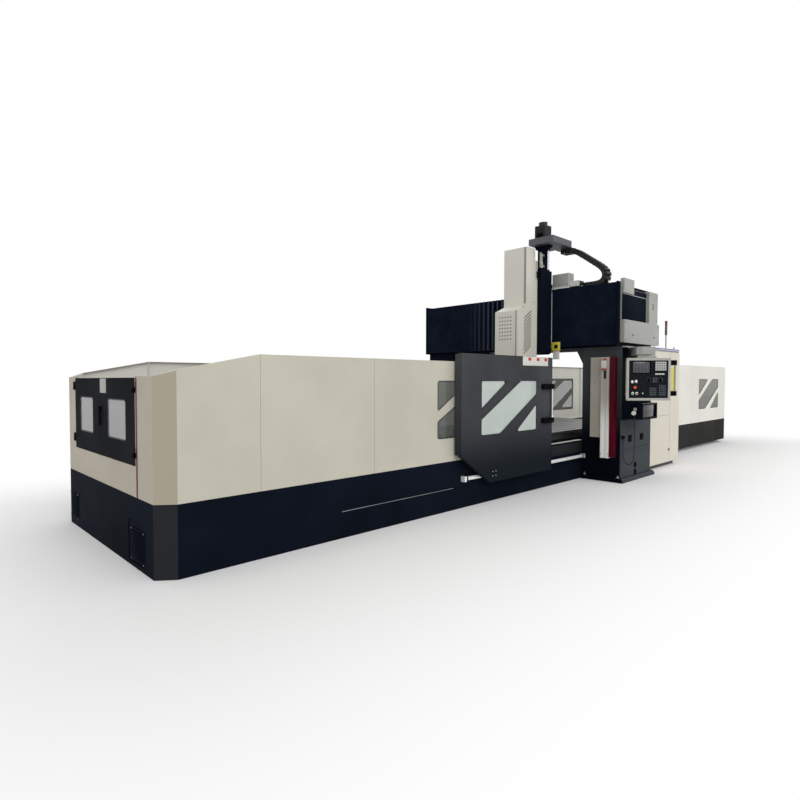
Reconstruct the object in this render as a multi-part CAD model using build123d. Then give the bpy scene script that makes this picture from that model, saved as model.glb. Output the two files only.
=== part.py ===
"""Double-column milling machine with a moving table, guards, a travelling head and an operator's pendant.

Millimetres. +X runs along the bed, +Y away from the operator's side, +Z up. The origin is on the floor,
under the middle of the bed.
"""

from build123d import *
import math
import os

os.makedirs("parts", exist_ok=True)

# Bed, skirts and guards
HALF_LENGTH = 7500
HALF_WIDTH = 1360
WALL = 40
CHAMFER_X = 153
CHAMFER_Y = 113
SKIRT_TOP = 615
RIGHT_SKIRT_FOOT = 80
END_TOP = 1650
CORNER_TOP = 1700
LEFT_GUARD_TOP = 1850
RIGHT_GUARD_TOP = 1950
SLOPE_LENGTH = 924
SEAM = 3
BED_TOP = 470
BED_HALF_WIDTH = 1100
BED_HALF_LENGTH = 7250
RAIL_Y = 800

# Gantry
COLUMN_FRONT = -510
COLUMN_BACK = 680
COLUMN_OUTER = 2000
COLUMN_TOP = 2150
ANCHOR_Y = (-1960, -1420)
ANCHOR_RADIUS = 15
BEAM_FRONT = -460
BEAM_TOP = 3110
BEAM_HALF = 1980
NEAR_COVER_TOP = 3140
CHAIN_X = (-440, -270)
CHAIN_TROUGH_Y = (-1500, -290)
CHAIN_LOW_Z = 3146
BEAM_RAIL_Z = (2330, 2930)
BEAM_RAIL_DEPTH = 50
BEAM_RAIL_HEIGHT = 70

# Table
TABLE_HALF_LENGTH = 2500
TABLE_HALF_WIDTH = 1030
TABLE_BOTTOM = 590
TABLE_TOP = 750
SLOT_PITCH = 220
SLOT_COUNT = 9
COVER_LENGTH = 2410
COVER_NEAR = (2460, 3640, 4840)

# Carriage and head
HEAD_Y = (-790, -360)
SADDLE_X = (-640, -512)
SADDLE_Y = (-868, -270)
SADDLE_Z = (2175, 3100)
Z_COLUMN_X = (-975, -640)
Z_COLUMN_Y = (-860, -310)
Z_RAIL_Y = (-720, -450)
HEAD_BACK = -1130
COVER_BACK = -1048
CHEEK_BACK = -979
CHEEK_TOP = 3590
UPPER_HEAD_FRONT = -1300
LOWER_HEAD_FRONT = -1550
HEAD_TOP = 3780
TRAY_Z = (3850, 3955)
HEAD_FOOT = 1900
SPINDLE_X = -1340
SPINDLE_Y = -575
SPINDLE_NOSE = 1340

# Sliding door
DOOR_X = (-3849, -1700)
DOOR_Z = (285, 1950)
DOOR_Y = (-1480, -1425)
DOOR_RAIL_Y = -1395
DOOR_RAIL_Z = 372
DOOR_RAIL_RADIUS = 26

# Doors of the left end
END_DOOR_SEAM = 100
END_DOOR_Y = (-843, 982)
END_DOOR_Z = (884, 1640)
END_HINGE_X = -7512
END_HINGE_Y = (-852, 991)
END_HINGE_Z = (997, 1557)

# Electrical cabinet
CABINET_X = (850, 2400)
CABINET_Y = (-1860, -1365)
CABINET_TOP = 2205
CABINET_DOOR_X = (872, 1895)
CABINET_SEAM_Z = 965
CABINET_HINGE_X = 862
CABINET_HINGE_Y = -1874
CABINET_HINGE_Z = ((250, 840), (1100, 1950))

# Operator's pendant and handwheel
PENDANT_CENTRE = (-570, -2420, 1630)
PENDANT_TURN = -42.5
PENDANT_WIDTH = 660
PENDANT_HEIGHT = 637
PENDANT_DEPTH = 110
ARM_ROOT = (-250, -2085)
ARM_Z = (2000, 2110)
BOX_X = (-500, 90)
BOX_Y = (-2310, -2000)
BOX_Z = (1010, 1260)
CORD_RADIUS = 4
CORD_ROUTE = [
    (-530, -2210, 1055),
    (-530, -2210, 955),
    (-530, -2212, 850),
    (-529, -2213, 740),
    (-528, -2212, 630),
    (-527, -2209, 520),
    (-524, -2204, 415),
    (-518, -2172, 330),
    (-509, -2118, 298),
    (-500, -2062, 326),
    (-493, -2034, 405),
    (-490, -2027, 495),
    (-488, -2026, 590),
    (-488, -2026, 680),
]


def block(x, y, z):
    """A box between two values along each axis."""
    low = [min(pair) for pair in (x, y, z)]
    size = [abs(pair[1] - pair[0]) for pair in (x, y, z)]
    return Pos(*low) * Box(*size, align=(Align.MIN, Align.MIN, Align.MIN))


def rounded_block(x, y, z, radius, axis=Axis.Y):
    """A box whose edges along one axis are rounded."""
    solid = block(x, y, z)
    return fillet(solid.edges().filter_by(axis), radius)


def outline(points):
    """A flat face inside a closed line."""
    return make_face(Polyline(*points, close=True))


def plan_prism(points, z):
    """An outline in X and Y, raised between two heights."""
    face = Pos(0, 0, z[0]) * outline(points)
    return extrude(face, amount=z[1] - z[0], dir=(0, 0, 1))


def side_prism(points, y):
    """An outline in X and Z, drawn out along Y."""
    plane = Plane(origin=(0, y[1], 0), x_dir=(1, 0, 0), z_dir=(0, -1, 0))
    return extrude(plane * outline(points), amount=y[1] - y[0], dir=(0, -1, 0))


def end_prism(points, x):
    """An outline in Y and Z, drawn out along X."""
    plane = Plane(origin=(x[0], 0, 0), x_dir=(0, 1, 0), z_dir=(1, 0, 0))
    return extrude(plane * outline(points), amount=x[1] - x[0], dir=(1, 0, 0))


def rod(start, end, radius):
    """A round bar between two points."""
    direction = Vector(*end) - Vector(*start)
    plane = Plane(origin=start, z_dir=direction)
    return extrude(plane * Circle(radius), amount=direction.length)


def mirrored(solid):
    """The same solid on the other side of the bed."""
    return mirror(solid, about=Plane.XZ)


def save(name, *solids):
    """Write one node, in which every solid stays a piece of its own."""
    shape = solids[0] if len(solids) == 1 else Compound(children=list(solids))
    export_step(shape, f"parts/{name}.step")


# Walls that stand round the bed


def inner_corner():
    """How far a mitred wall's inner corners step in, along X and along Y."""
    turn = math.atan2(CHAMFER_Y, CHAMFER_X)
    along_x = WALL * math.tan(turn / 2)
    along_y = WALL * math.tan((math.pi / 2 - turn) / 2)
    return along_x, along_y


def chamfer_wall(end, z):
    """The slanted wall at the near corner of one end: end is -1 for left and 1 for right."""
    step_x, step_y = inner_corner()
    side = end * (HALF_LENGTH - CHAMFER_X)
    points = [
        (side, -HALF_WIDTH),
        (end * HALF_LENGTH, -HALF_WIDTH + CHAMFER_Y),
        (end * (HALF_LENGTH - WALL), -HALF_WIDTH + CHAMFER_Y + step_y),
        (side - end * step_x, -HALF_WIDTH + WALL),
    ]
    return plan_prism(points, z)


def side_wall(end, gantry_x, z):
    """The long near wall, from a gantry column to the slanted corner."""
    step_x, step_y = inner_corner()
    side = end * (HALF_LENGTH - CHAMFER_X)
    points = [
        (gantry_x, -HALF_WIDTH),
        (side, -HALF_WIDTH),
        (side - end * step_x, -HALF_WIDTH + WALL),
        (gantry_x, -HALF_WIDTH + WALL),
    ]
    return plan_prism(points, z)


def end_wall(end, z):
    """The wall across one end."""
    step_x, step_y = inner_corner()
    outer = HALF_WIDTH - CHAMFER_Y
    inner = outer - step_y
    points = [
        (end * HALF_LENGTH, -outer),
        (end * HALF_LENGTH, outer),
        (end * (HALF_LENGTH - WALL), inner),
        (end * (HALF_LENGTH - WALL), -inner),
    ]
    return plan_prism(points, z)


def window_outlines(x, z):
    """Three rounded openings, parted by two slanting bars."""
    corner = [(0, 0.47), (0.46, 1), (0, 1)]
    band = [(0, 0), (0.32, 0), (1, 0.72), (1, 1), (0.69, 1), (0, 0.30)]
    foot = [(0.585, 0), (1, 0), (1, 0.54)]
    width = x[1] - x[0]
    height = z[1] - z[0]
    faces = []
    for shares in (corner, band, foot):
        face = outline([(x[0] + width * u, z[0] + height * v) for u, v in shares])
        faces.append(fillet(face.vertices(), 35))
    return faces


def pan(face, openings, y, skin, flange):
    """A folded sheet panel: a thin front with openings and inward flanges on its outer edges."""
    plane = Plane(origin=(0, y[1], 0), x_dir=(1, 0, 0), z_dir=(0, -1, 0))
    depth = y[1] - y[0]
    pocket = offset(face, -flange, kind=Kind.INTERSECTION)
    solid = extrude(plane * face, amount=depth, dir=(0, -1, 0))
    solid -= extrude(plane * pocket, amount=depth - skin, dir=(0, -1, 0))
    for opening in openings:
        solid -= extrude(plane * opening, amount=depth, dir=(0, -1, 0))
    return solid


NEAR_WALL_Y = (-HALF_WIDTH - 1, -HALF_WIDTH + WALL + 1)
LEFT_WINDOW = ((-4155, -2830), (905, 1610))
NEAR_RIGHT_WINDOW = ((5300, 6750), (925, 1640))
FAR_RIGHT_WINDOW = ((3000, 4400), (905, 1610))
PANE_MARGIN = 45
SHEET = 3
FLANGE = 4


def pane(window, y):
    """A flat sheet of glass behind a window's openings."""
    x, z = window
    return block(
        (x[0] - PANE_MARGIN, x[1] + PANE_MARGIN), y, (z[0] - PANE_MARGIN, z[1] + PANE_MARGIN)
    )


DOORWAY_LEFT = -1800
LEFT_SEAMS = [-HALF_LENGTH + CHAMFER_X, -HALF_LENGTH + SLOPE_LENGTH, -5184, DOORWAY_LEFT]
FAR_LEFT_SEAMS = LEFT_SEAMS[:3] + [-2350, COLUMN_FRONT]
RIGHT_SEAMS = [COLUMN_BACK, 2700, 4800, HALF_LENGTH - CHAMFER_X]
GUARD_Z = (SKIRT_TOP, RIGHT_GUARD_TOP)


def left_top(x):
    """The height of the left guard's top edge, which falls towards the end of the machine."""
    corner = -HALF_LENGTH + CHAMFER_X
    if x <= corner:
        return END_TOP + (CORNER_TOP - END_TOP) * (x + HALF_LENGTH) / CHAMFER_X
    rise = (LEFT_GUARD_TOP - CORNER_TOP) * (x - corner) / (SLOPE_LENGTH - CHAMFER_X)
    return min(LEFT_GUARD_TOP, CORNER_TOP + rise)


def right_top(x):
    """The height of the right guard's top edge, the same all along."""
    return RIGHT_GUARD_TOP


def guard_side(end, seams, top, windows):
    """One side's panels and its slanted corner: windows holds a window for some panel numbers."""
    wall = side_wall(end, seams[0] if end > 0 else COLUMN_FRONT, GUARD_Z)
    wall_y = (-HALF_WIDTH, -HALF_WIDTH + WALL)
    pieces = []
    for number, (low, high) in enumerate(zip(seams, seams[1:])):
        low += SEAM / 2
        high -= SEAM / 2
        face = outline([(low, SKIRT_TOP), (high, SKIRT_TOP), (high, top(high)), (low, top(low))])
        openings = window_outlines(*windows[number]) if number in windows else []
        pieces.append(pan(face, openings, wall_y, SHEET, FLANGE) & wall)
    outer = end * HALF_LENGTH
    inner = end * (HALF_LENGTH - CHAMFER_X - 40)
    profile = [(outer, SKIRT_TOP), (inner, SKIRT_TOP), (inner, top(inner)), (outer, top(outer))]
    pieces.append(chamfer_wall(end, GUARD_Z) & side_prism(profile, (-HALF_WIDTH, HALF_WIDTH)))
    return pieces


def end_pan(wall, y, z):
    """The part of an end wall between two limits across and up, as a folded sheet panel."""
    box = wall.bounding_box()
    low, high = box.min.X, box.max.X
    piece = wall & block((low, high), y, z)
    inner = (low - 1, high - SHEET) if high > 0 else (low + SHEET, high + 1)
    across = (max(y[0], box.min.Y + 40) + FLANGE, min(y[1], box.max.Y - 40) - FLANGE)
    return piece - block(inner, across, (z[0] + FLANGE, z[1] - FLANGE))


def guards():
    """All fixed guards, their panes and the panels across both ends."""
    left_window = {2: LEFT_WINDOW}
    save("near_left_guard", *guard_side(-1, LEFT_SEAMS, left_top, left_window))
    far_left = guard_side(-1, FAR_LEFT_SEAMS, left_top, left_window)
    save("far_left_guard", *[mirrored(piece) for piece in far_left])
    save("near_right_guard", *guard_side(1, RIGHT_SEAMS, right_top, {2: NEAR_RIGHT_WINDOW}))
    far_right = guard_side(1, RIGHT_SEAMS, right_top, {1: FAR_RIGHT_WINDOW})
    save("far_right_guard", *[mirrored(piece) for piece in far_right])
    near_glass_y = (-HALF_WIDTH + SHEET, -HALF_WIDTH + SHEET + 6)
    panes = [pane(LEFT_WINDOW, near_glass_y), pane(NEAR_RIGHT_WINDOW, near_glass_y)]
    panes += [mirrored(pane(w, near_glass_y)) for w in (LEFT_WINDOW, FAR_RIGHT_WINDOW)]
    save("guard_glass", *panes)

    wall = end_wall(-1, (SKIRT_TOP, END_TOP))
    door_low = END_DOOR_Y[0] - 20
    door_high = END_DOOR_Y[1] + 20
    save(
        "left_end_panel",
        end_pan(wall, (-HALF_WIDTH, door_low), (SKIRT_TOP, END_TOP)),
        end_pan(wall, (door_high, HALF_WIDTH), (SKIRT_TOP, END_TOP)),
        end_pan(wall, (door_low, door_high), (SKIRT_TOP, END_DOOR_Z[0] - 4)),
    )
    save("right_end_panel", end_pan(end_wall(1, GUARD_Z), (-HALF_WIDTH, HALF_WIDTH), GUARD_Z))


# Skirts

HATCH_Y = (-1040, -660)
HATCH_Z = (40, 400)
FOLD_Z = 270


def skirts():
    """The dark plinth round both halves of the bed, with a hatch in its left end."""
    left_z = (0, SKIRT_TOP)
    near = side_wall(-1, COLUMN_FRONT, left_z)
    fold = block((-5635, COLUMN_FRONT), (-HALF_WIDTH - 1, -HALF_WIDTH + 5), (FOLD_Z, FOLD_Z + 8))
    far = mirrored(near)
    end = end_wall(-1, left_z)
    end -= block((-HALF_LENGTH - 1, -HALF_LENGTH + 14), HATCH_Y, HATCH_Z)
    hatch = hatch_plate()
    sill = block(
        (DOORWAY_LEFT + 3, COLUMN_FRONT - 2), (-HALF_WIDTH - 14, -HALF_WIDTH + 70),
        (SKIRT_TOP, SKIRT_TOP + 14),
    )
    corner = chamfer_wall(-1, left_z)
    hollow = block((-7300, COLUMN_FRONT - 20), (-HALF_WIDTH + 10, -HALF_WIDTH + WALL + 1), (10, 600))
    hollow_end = block((-HALF_LENGTH + 20, -HALF_LENGTH + WALL + 1), (-1180, 1180), (10, 600))
    near = near - fold - hollow
    far -= mirrored(hollow)
    end -= hollow_end
    save("left_skirt", near, far, end, corner, mirrored(corner), hatch, sill)

    right_z = (RIGHT_SKIRT_FOOT, SKIRT_TOP)
    hollow = block((COLUMN_BACK + 20, 7300), (-HALF_WIDTH + 10, -HALF_WIDTH + WALL + 1), (95, 600))
    hollow_end = block((HALF_LENGTH - 10, HALF_LENGTH - WALL - 1), (-1180, 1180), (95, 600))
    near = side_wall(1, COLUMN_BACK, right_z) - hollow
    end = end_wall(1, right_z) - hollow_end
    corner = chamfer_wall(1, right_z)
    save("right_skirt", near, mirrored(near), end, corner, mirrored(corner))


def hatch_plate():
    """The hatch's plate with two round inlets for pipes, set back in the end of the skirt."""
    x = (-HALF_LENGTH + 6, -HALF_LENGTH + 14)
    plate = block(x, (HATCH_Y[0] + 8, HATCH_Y[1] - 8), (HATCH_Z[0] + 8, HATCH_Z[1] - 8))
    for y in (-930, -770):
        plate -= rod((x[0] - 1, y, 290), (x[0] + 5, y, 290), 34)
    return plate


# Bed and table


def bed():
    """The cast bed: girders under the rails, a trough between them, hollow below, on wedge blocks."""
    deck = 90
    side = BED_HALF_WIDTH
    points = [
        (-side, 60), (-side + 80, 60), (-side + 80, BED_TOP - deck), (-680, BED_TOP - deck),
        (-680, 60), (-600, 60), (-600, 290), (600, 290), (600, 60), (680, 60),
        (680, BED_TOP - deck), (side - 80, BED_TOP - deck), (side - 80, 60), (side, 60),
        (side, BED_TOP - 40), (side - 60, BED_TOP - 40), (side - 100, BED_TOP),
        (620, BED_TOP), (560, 370), (-560, 370), (-620, BED_TOP),
        (-side + 100, BED_TOP), (-side + 60, BED_TOP - 40), (-side, BED_TOP - 40),
    ]
    arms = []
    for low, high in ((-BED_HALF_LENGTH, COLUMN_FRONT), (COLUMN_BACK, BED_HALF_LENGTH)):
        arm = end_prism(points, (low, high))
        for y in ((-side, -600), (-600, 600), (600, side)):
            arms.append(arm & block((low, high), y, (0, BED_TOP)))
    middle = block((COLUMN_FRONT, COLUMN_BACK), (-HALF_WIDTH, HALF_WIDTH), (0, BED_TOP - 40))
    middle += block((COLUMN_FRONT, COLUMN_BACK), (-1000, 1000), (BED_TOP - 40, BED_TOP))
    middle -= block((COLUMN_FRONT - 1, COLUMN_BACK + 1), (-560, 560), (370, BED_TOP + 1))
    wedges = []
    for x in range(-7000, 7001, 1400):
        if COLUMN_FRONT - 120 < x < COLUMN_BACK + 120:
            continue
        for y in (-1060, -640, 640, 1060):
            wedges.append(wedge_block(x, y))
    save("bed", *arms, middle, *wedges)


def wedge_block(x, y):
    """A levelling block: a wedge between a foot and a top shoe, drawn as one casting."""
    profile = [(x - 90, 0), (x + 90, 0), (x + 90, 24), (x + 74, 60), (x - 74, 60), (x - 90, 24)]
    return side_prism(profile, (y - 38, y + 38))


def rail(start, end, width, height):
    """The section of a linear rail: a foot, a waist for the bearing's balls, and a head."""
    waist = width * 0.36
    half = width / 2
    return [
        (start - half, end), (start + half, end), (start + half, end + height * 0.35),
        (start + waist, end + height * 0.5), (start + half, end + height * 0.65),
        (start + half, end + height), (start - half, end + height),
        (start - half, end + height * 0.65), (start - waist, end + height * 0.5),
        (start - half, end + height * 0.35),
    ]


def linear_rails():
    """The bed's two rails and the crossbeam's two rails."""
    pieces = []
    for y in (-RAIL_Y, RAIL_Y):
        pieces.append(end_prism(rail(y, BED_TOP, 75, 60), (-BED_HALF_LENGTH, BED_HALF_LENGTH)))
    for z in BEAM_RAIL_Z:
        low = z - BEAM_RAIL_HEIGHT / 2
        high = z + BEAM_RAIL_HEIGHT / 2
        back = BEAM_FRONT
        front = BEAM_FRONT - BEAM_RAIL_DEPTH
        profile = [
            (back, low), (back, high), (back - 18, high), (back - 25, high - 9),
            (back - 32, high), (front, high), (front, low), (back - 32, low),
            (back - 25, low + 9), (back - 18, low),
        ]
        pieces.append(side_prism(profile, (-1900, 1900)))
    save("linear_rails", *pieces)


def table_strip(number):
    """One land between two slots: it overhangs the wide chambers on both sides."""
    low = -TABLE_HALF_WIDTH
    high = TABLE_HALF_WIDTH
    first = (number - SLOT_COUNT / 2 - 0.5) * SLOT_PITCH
    mouth, chamber = 14, 25
    left = first if number > 0 else None
    right = first + SLOT_PITCH if number < SLOT_COUNT else None
    top, step, foot = TABLE_TOP, TABLE_TOP - 34, TABLE_TOP - 56
    points = [(low, foot), (low, top - 20), (low, top)] if left is None else [
        (left + chamber, foot), (left + chamber, step), (left + mouth, step), (left + mouth, top)]
    points += [(high, top), (high, foot)] if right is None else [
        (right - mouth, top), (right - mouth, step), (right - chamber, step), (right - chamber, foot)]
    return end_prism(points, (-TABLE_HALF_LENGTH, TABLE_HALF_LENGTH))


def table():
    """The work table: a slab, the lands between its T slots, and the bearing blocks under it."""
    half = TABLE_HALF_WIDTH
    floor = TABLE_TOP - 56
    profile = [
        (-half, TABLE_BOTTOM + 30), (-half + 30, TABLE_BOTTOM), (half - 30, TABLE_BOTTOM),
        (half, TABLE_BOTTOM + 30), (half, floor - 30), (half - 18, floor - 30),
        (half - 18, floor), (-half + 18, floor), (-half + 18, floor - 30), (-half, floor - 30),
    ]
    slab = end_prism(profile, (-TABLE_HALF_LENGTH, TABLE_HALF_LENGTH))
    lands = [table_strip(number) for number in range(SLOT_COUNT + 1)]
    blocks = []
    for x in (-2100, -700, 700, 2100):
        for y in (-RAIL_Y, RAIL_Y):
            shoe = block((x - 150, x + 150), (y - 75, y + 75), (BED_TOP + 12, TABLE_BOTTOM))
            way = block((x - 151, x + 151), (y - 39, y + 39), (BED_TOP, BED_TOP + 62))
            blocks.append(shoe - way)
    save("table", slab, *lands, *blocks)


def cover_sheet(end, near, stage):
    """One sheet of the telescopic covers: a low upside-down trough, each stage inside the last."""
    thickness = 4
    half = 1000 - 12 * stage
    top = TABLE_BOTTOM - 12 * stage
    foot = (506, 490, BED_TOP)[stage]
    profile = [
        (-half, foot), (-half, top), (half, top), (half, foot), (half - thickness, foot),
        (half - thickness, top - thickness), (-half + thickness, top - thickness),
        (-half + thickness, foot),
    ]
    span = sorted((end * near, end * (near + COVER_LENGTH)))
    sheet = end_prism(profile, span)
    lip = end * (near + COVER_LENGTH * (stage < 2))
    inside = block((lip, lip - end * 5 * (stage < 2) + end * 5 * (stage == 2)),
                   (-half + thickness, half - thickness), (top - 9, top - thickness))
    return sheet + inside


def way_covers():
    """The steel covers over the bed's rails: on the table, between, and on the bed's ends."""
    save("table_way_covers", cover_sheet(-1, COVER_NEAR[0], 0), cover_sheet(1, COVER_NEAR[0], 0))
    save("left_middle_cover", cover_sheet(-1, COVER_NEAR[1], 1))
    save("right_middle_cover", cover_sheet(1, COVER_NEAR[1], 1))
    plates = []
    for end in (-1, 1):
        x = end * BED_HALF_LENGTH
        plates.append(block((x, x - end * 4), (-972, 972), (530, 562)))
    fixed = [cover_sheet(-1, COVER_NEAR[2], 2), cover_sheet(1, COVER_NEAR[2], 2)]
    save("fixed_way_covers", *fixed, *plates)


# Gantry


def column(side_cuts):
    """A hollow cast shaft on a flange with anchor holes, and a gusset under the crossbeam."""
    x = (COLUMN_FRONT, COLUMN_BACK)
    flange = 70
    shaft = block(x, (-COLUMN_OUTER, -HALF_WIDTH), (flange, COLUMN_TOP))
    shaft = fillet(shaft.edges().filter_by(Axis.Z).sort_by(Axis.Y)[:2], 22)
    shaft -= block((x[0] + 90, x[1] - 90), (-COLUMN_OUTER + 90, -HALF_WIDTH - 90), (0, COLUMN_TOP + 1))
    shaft -= block((x[0] - 1, x[1] + 1), (-COLUMN_OUTER - 1, -COLUMN_OUTER + 6), (516, 528))
    for cut in side_cuts:
        shaft -= cut
    foot = block((x[0] - 50, x[1] + 50), (-COLUMN_OUTER - 50, -HALF_WIDTH), (0, flange))
    foot = chamfer(foot.edges().group_by(Axis.Z)[-1].sort_by(Axis.Y)[0], 30)
    for px in (x[0] - 22, x[1] + 22):
        for py in ANCHOR_Y:
            foot -= rod((px, py, -1), (px, py, flange + 1), ANCHOR_RADIUS)
    gusset = end_prism(
        [(-HALF_WIDTH, 1850), (-1210, COLUMN_TOP), (-HALF_WIDTH, COLUMN_TOP)], (x[0] + 40, x[1] - 40)
    )
    return [shaft, foot, gusset]


GLAND_SITES = [(-170, 680, 75, 55), (290, 680, 75, 55), (40, 120, 45, 45)]
ROUND_SITE = (40, 235, 50)


def columns():
    """Both columns; the near one has sockets for glands and carries the arm's bracket."""
    cuts = []
    glands = []
    face = -COLUMN_OUTER
    for x, z, half_x, half_z in GLAND_SITES:
        cuts.append(block((x - half_x, x + half_x), (face - 1, face + 12), (z - half_z, z + half_z)))
        plate = block(
            (x - half_x + 2, x + half_x - 2), (face + 4, face + 12), (z - half_z + 2, z + half_z - 2)
        )
        glands.append(plate)
        glands.append(rod((x, face + 4, z), (x, face - 16, z), 18))
    x, z, radius = ROUND_SITE
    cuts.append(rod((x, face - 1, z), (x, face + 12, z), radius))
    glands.append(rod((x, face + 12, z), (x, face - 6, z), radius - 4))
    x, y, z = CORD_ROUTE[-1]
    glands.append(rod((x, y, z), (x, y, z + 20), 9))
    glands.append(block((x - 18, x + 18), (y - 18, face), (z + 20, z + 62)))
    save("near_column", *column(cuts), *arm_bracket())
    save("far_column", *[mirrored(piece) for piece in column([])])
    save("column_glands", *glands)


def arm_bracket():
    """The fork on the column's side that holds the pendant arm's upright pin."""
    x, y = ARM_ROOT
    pieces = []
    for z in ((ARM_Z[0] - 16, ARM_Z[0] - 2), (ARM_Z[1] + 2, ARM_Z[1] + 14)):
        pieces.append(block((x - 60, x + 60), (y - 50, -COLUMN_OUTER), z))
    pin = rod((x, y, ARM_Z[0] - 2), (x, y, ARM_Z[1] + 2), 16)
    return [pieces[0], pieces[1], pin]


def crossbeam():
    """The hollow crossbeam on both columns, with the end frames that hold the bellows."""
    section = [
        (BEAM_FRONT, COLUMN_TOP), (COLUMN_BACK, COLUMN_TOP), (COLUMN_BACK, BEAM_TOP - 120),
        (COLUMN_BACK - 120, BEAM_TOP), (BEAM_FRONT, BEAM_TOP),
    ]
    hollow = [
        (BEAM_FRONT + 90, COLUMN_TOP + 90), (COLUMN_BACK - 90, COLUMN_TOP + 90),
        (COLUMN_BACK - 90, BEAM_TOP - 160), (COLUMN_BACK - 160, BEAM_TOP - 90),
        (BEAM_FRONT + 90, BEAM_TOP - 90),
    ]
    beam = side_prism(section, (-BEAM_HALF, BEAM_HALF))
    beam -= side_prism(hollow, (-BEAM_HALF + 20, BEAM_HALF - 20))
    frames = []
    for y in ((-BEAM_HALF, -BEAM_HALF + 30), (BEAM_HALF - 30, BEAM_HALF)):
        top = NEAR_COVER_TOP + 10 if y[0] < 0 else BEAM_TOP + 6
        frames.append(block((-645, BEAM_FRONT), y, (COLUMN_TOP, top)))
    trough_x = (CHAIN_X[0] - 8, CHAIN_X[1] + 8)
    trough = block(trough_x, CHAIN_TROUGH_Y, (BEAM_TOP, CHAIN_LOW_Z + 20))
    trough -= block(CHAIN_X, (CHAIN_TROUGH_Y[0] - 1, CHAIN_TROUGH_Y[1] + 1), (CHAIN_LOW_Z, CHAIN_LOW_Z + 21))
    trough -= block(
        (trough_x[0] + 6, trough_x[1] - 6), (CHAIN_TROUGH_Y[0] - 1, CHAIN_TROUGH_Y[1] + 1),
        (BEAM_TOP - 1, CHAIN_LOW_Z - 6),
    )
    save("crossbeam", beam, *frames, trough)


def beam_bellows():
    """The folded covers in front of the crossbeam: shallow folds near, deep ones beyond the saddle."""
    limits = (
        ("near_bellows", -BEAM_HALF + 31, SADDLE_Y[0] - 1, 10, NEAR_COVER_TOP),
        ("far_bellows", SADDLE_Y[1] + 1, BEAM_HALF - 31, 34, BEAM_TOP - 20),
    )
    for name, low, high, depth, top in limits:
        count = round((high - low) / 65)
        pitch = (high - low) / count
        folds = [(-628 + depth * m, low + pitch * (n + 0.5 * m)) for n in range(count) for m in (0, 1)]
        folds.append((-628, high))
        points = folds + [(x + 12, y) for x, y in reversed(folds)]
        save(name, plan_prism(points, (COLUMN_TOP + 20, top)))


def beam_end_cover():
    """Light sheet-metal covers over the near end of the crossbeam, with the cable duct below."""
    inner = -BEAM_HALF
    lower = rounded_block((-560, 840), (inner - 70, inner), (2205, 2560), 18)
    for x in (-240, 630):
        lower -= rod((x, inner - 71, 2330), (x, inner - 58, 2330), 16)
    lower -= block((-550, 830), (inner - 56, inner + 1), (2215, 2550))
    upright = rounded_block((390, 760), (inner - 70, inner), (2560, 3085), 18)
    upright -= block((400, 750), (inner - 56, inner + 1), (2570, 3075))
    upright -= rounded_block((520, 580), (inner - 71, inner - 58), (2790, 2900), 28)
    dark = block((-560, 390), (inner - 22, inner), (2560, 3060))
    top = block((-560, -190), (inner - 60, inner), (3060, 3200))
    duct = block((COLUMN_FRONT, CABINET_X[0]), (-COLUMN_OUTER - 60, -COLUMN_OUTER), (2130, 2150))
    save("beam_end_cover", lower, upright, top, duct, dark)


def jamb():
    """The parts on the near column's front face, beside the doorway."""
    cover = rounded_block((COLUMN_FRONT - 90, COLUMN_FRONT), (-1722, -1532), (703, 1980), 12, Axis.Z)
    strip = block((COLUMN_FRONT - 130, COLUMN_FRONT), (-1850, -1726), (385, 1980))
    strip -= block((COLUMN_FRONT - 131, COLUMN_FRONT - 118), (-1815, -1762), (384, 1981))
    strip -= block((COLUMN_FRONT - 112, COLUMN_FRONT + 1), (-1844, -1732), (391, 1974))
    trim = block((COLUMN_FRONT - 105, COLUMN_FRONT), (-1926, -1854), (400, 1980))
    save("jamb_cover", cover)
    save("jamb_strip", strip)
    post_x = (-HALF_LENGTH - 3, -HALF_LENGTH)
    post_trim = block(post_x, (END_DOOR_Y[0] - 66, END_DOOR_Y[0] - 40), (SKIRT_TOP, END_TOP - 10))
    save("red_trim", trim, post_trim)


# Carriage and head


def saddle():
    """The plate that travels along the crossbeam on four bearing blocks."""
    plate = rounded_block(SADDLE_X, SADDLE_Y, SADDLE_Z, 30, Axis.X)
    blocks = []
    for z in BEAM_RAIL_Z:
        for y in (SADDLE_Y[0] + 110, SADDLE_Y[1] - 110):
            shoe = block((SADDLE_X[1], BEAM_FRONT - 8), (y - 90, y + 90), (z - 62, z + 62))
            half = BEAM_RAIL_HEIGHT / 2 + 2
            shoe -= block((SADDLE_X[1], BEAM_FRONT), (y - 91, y + 91), (z - half, z + half))
            blocks.append(shoe)
    shelf_z = (NEAR_COVER_TOP + 6, NEAR_COVER_TOP + 22)
    drive = block((-640, -470), (-1165, -872), (shelf_z[1], 3392))
    coupling = block((-620, -490), (-1330, -1165), (shelf_z[1], 3250))
    shelf = block((-640, -470), (-1165, SADDLE_Y[1] - 40), shelf_z)
    riser = block((-640, -520), (SADDLE_Y[0] + 20, SADDLE_Y[1] - 40), (SADDLE_Z[1], shelf_z[0]))
    save("carriage_saddle", plate, *blocks, riser, shelf, drive, coupling)


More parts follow.
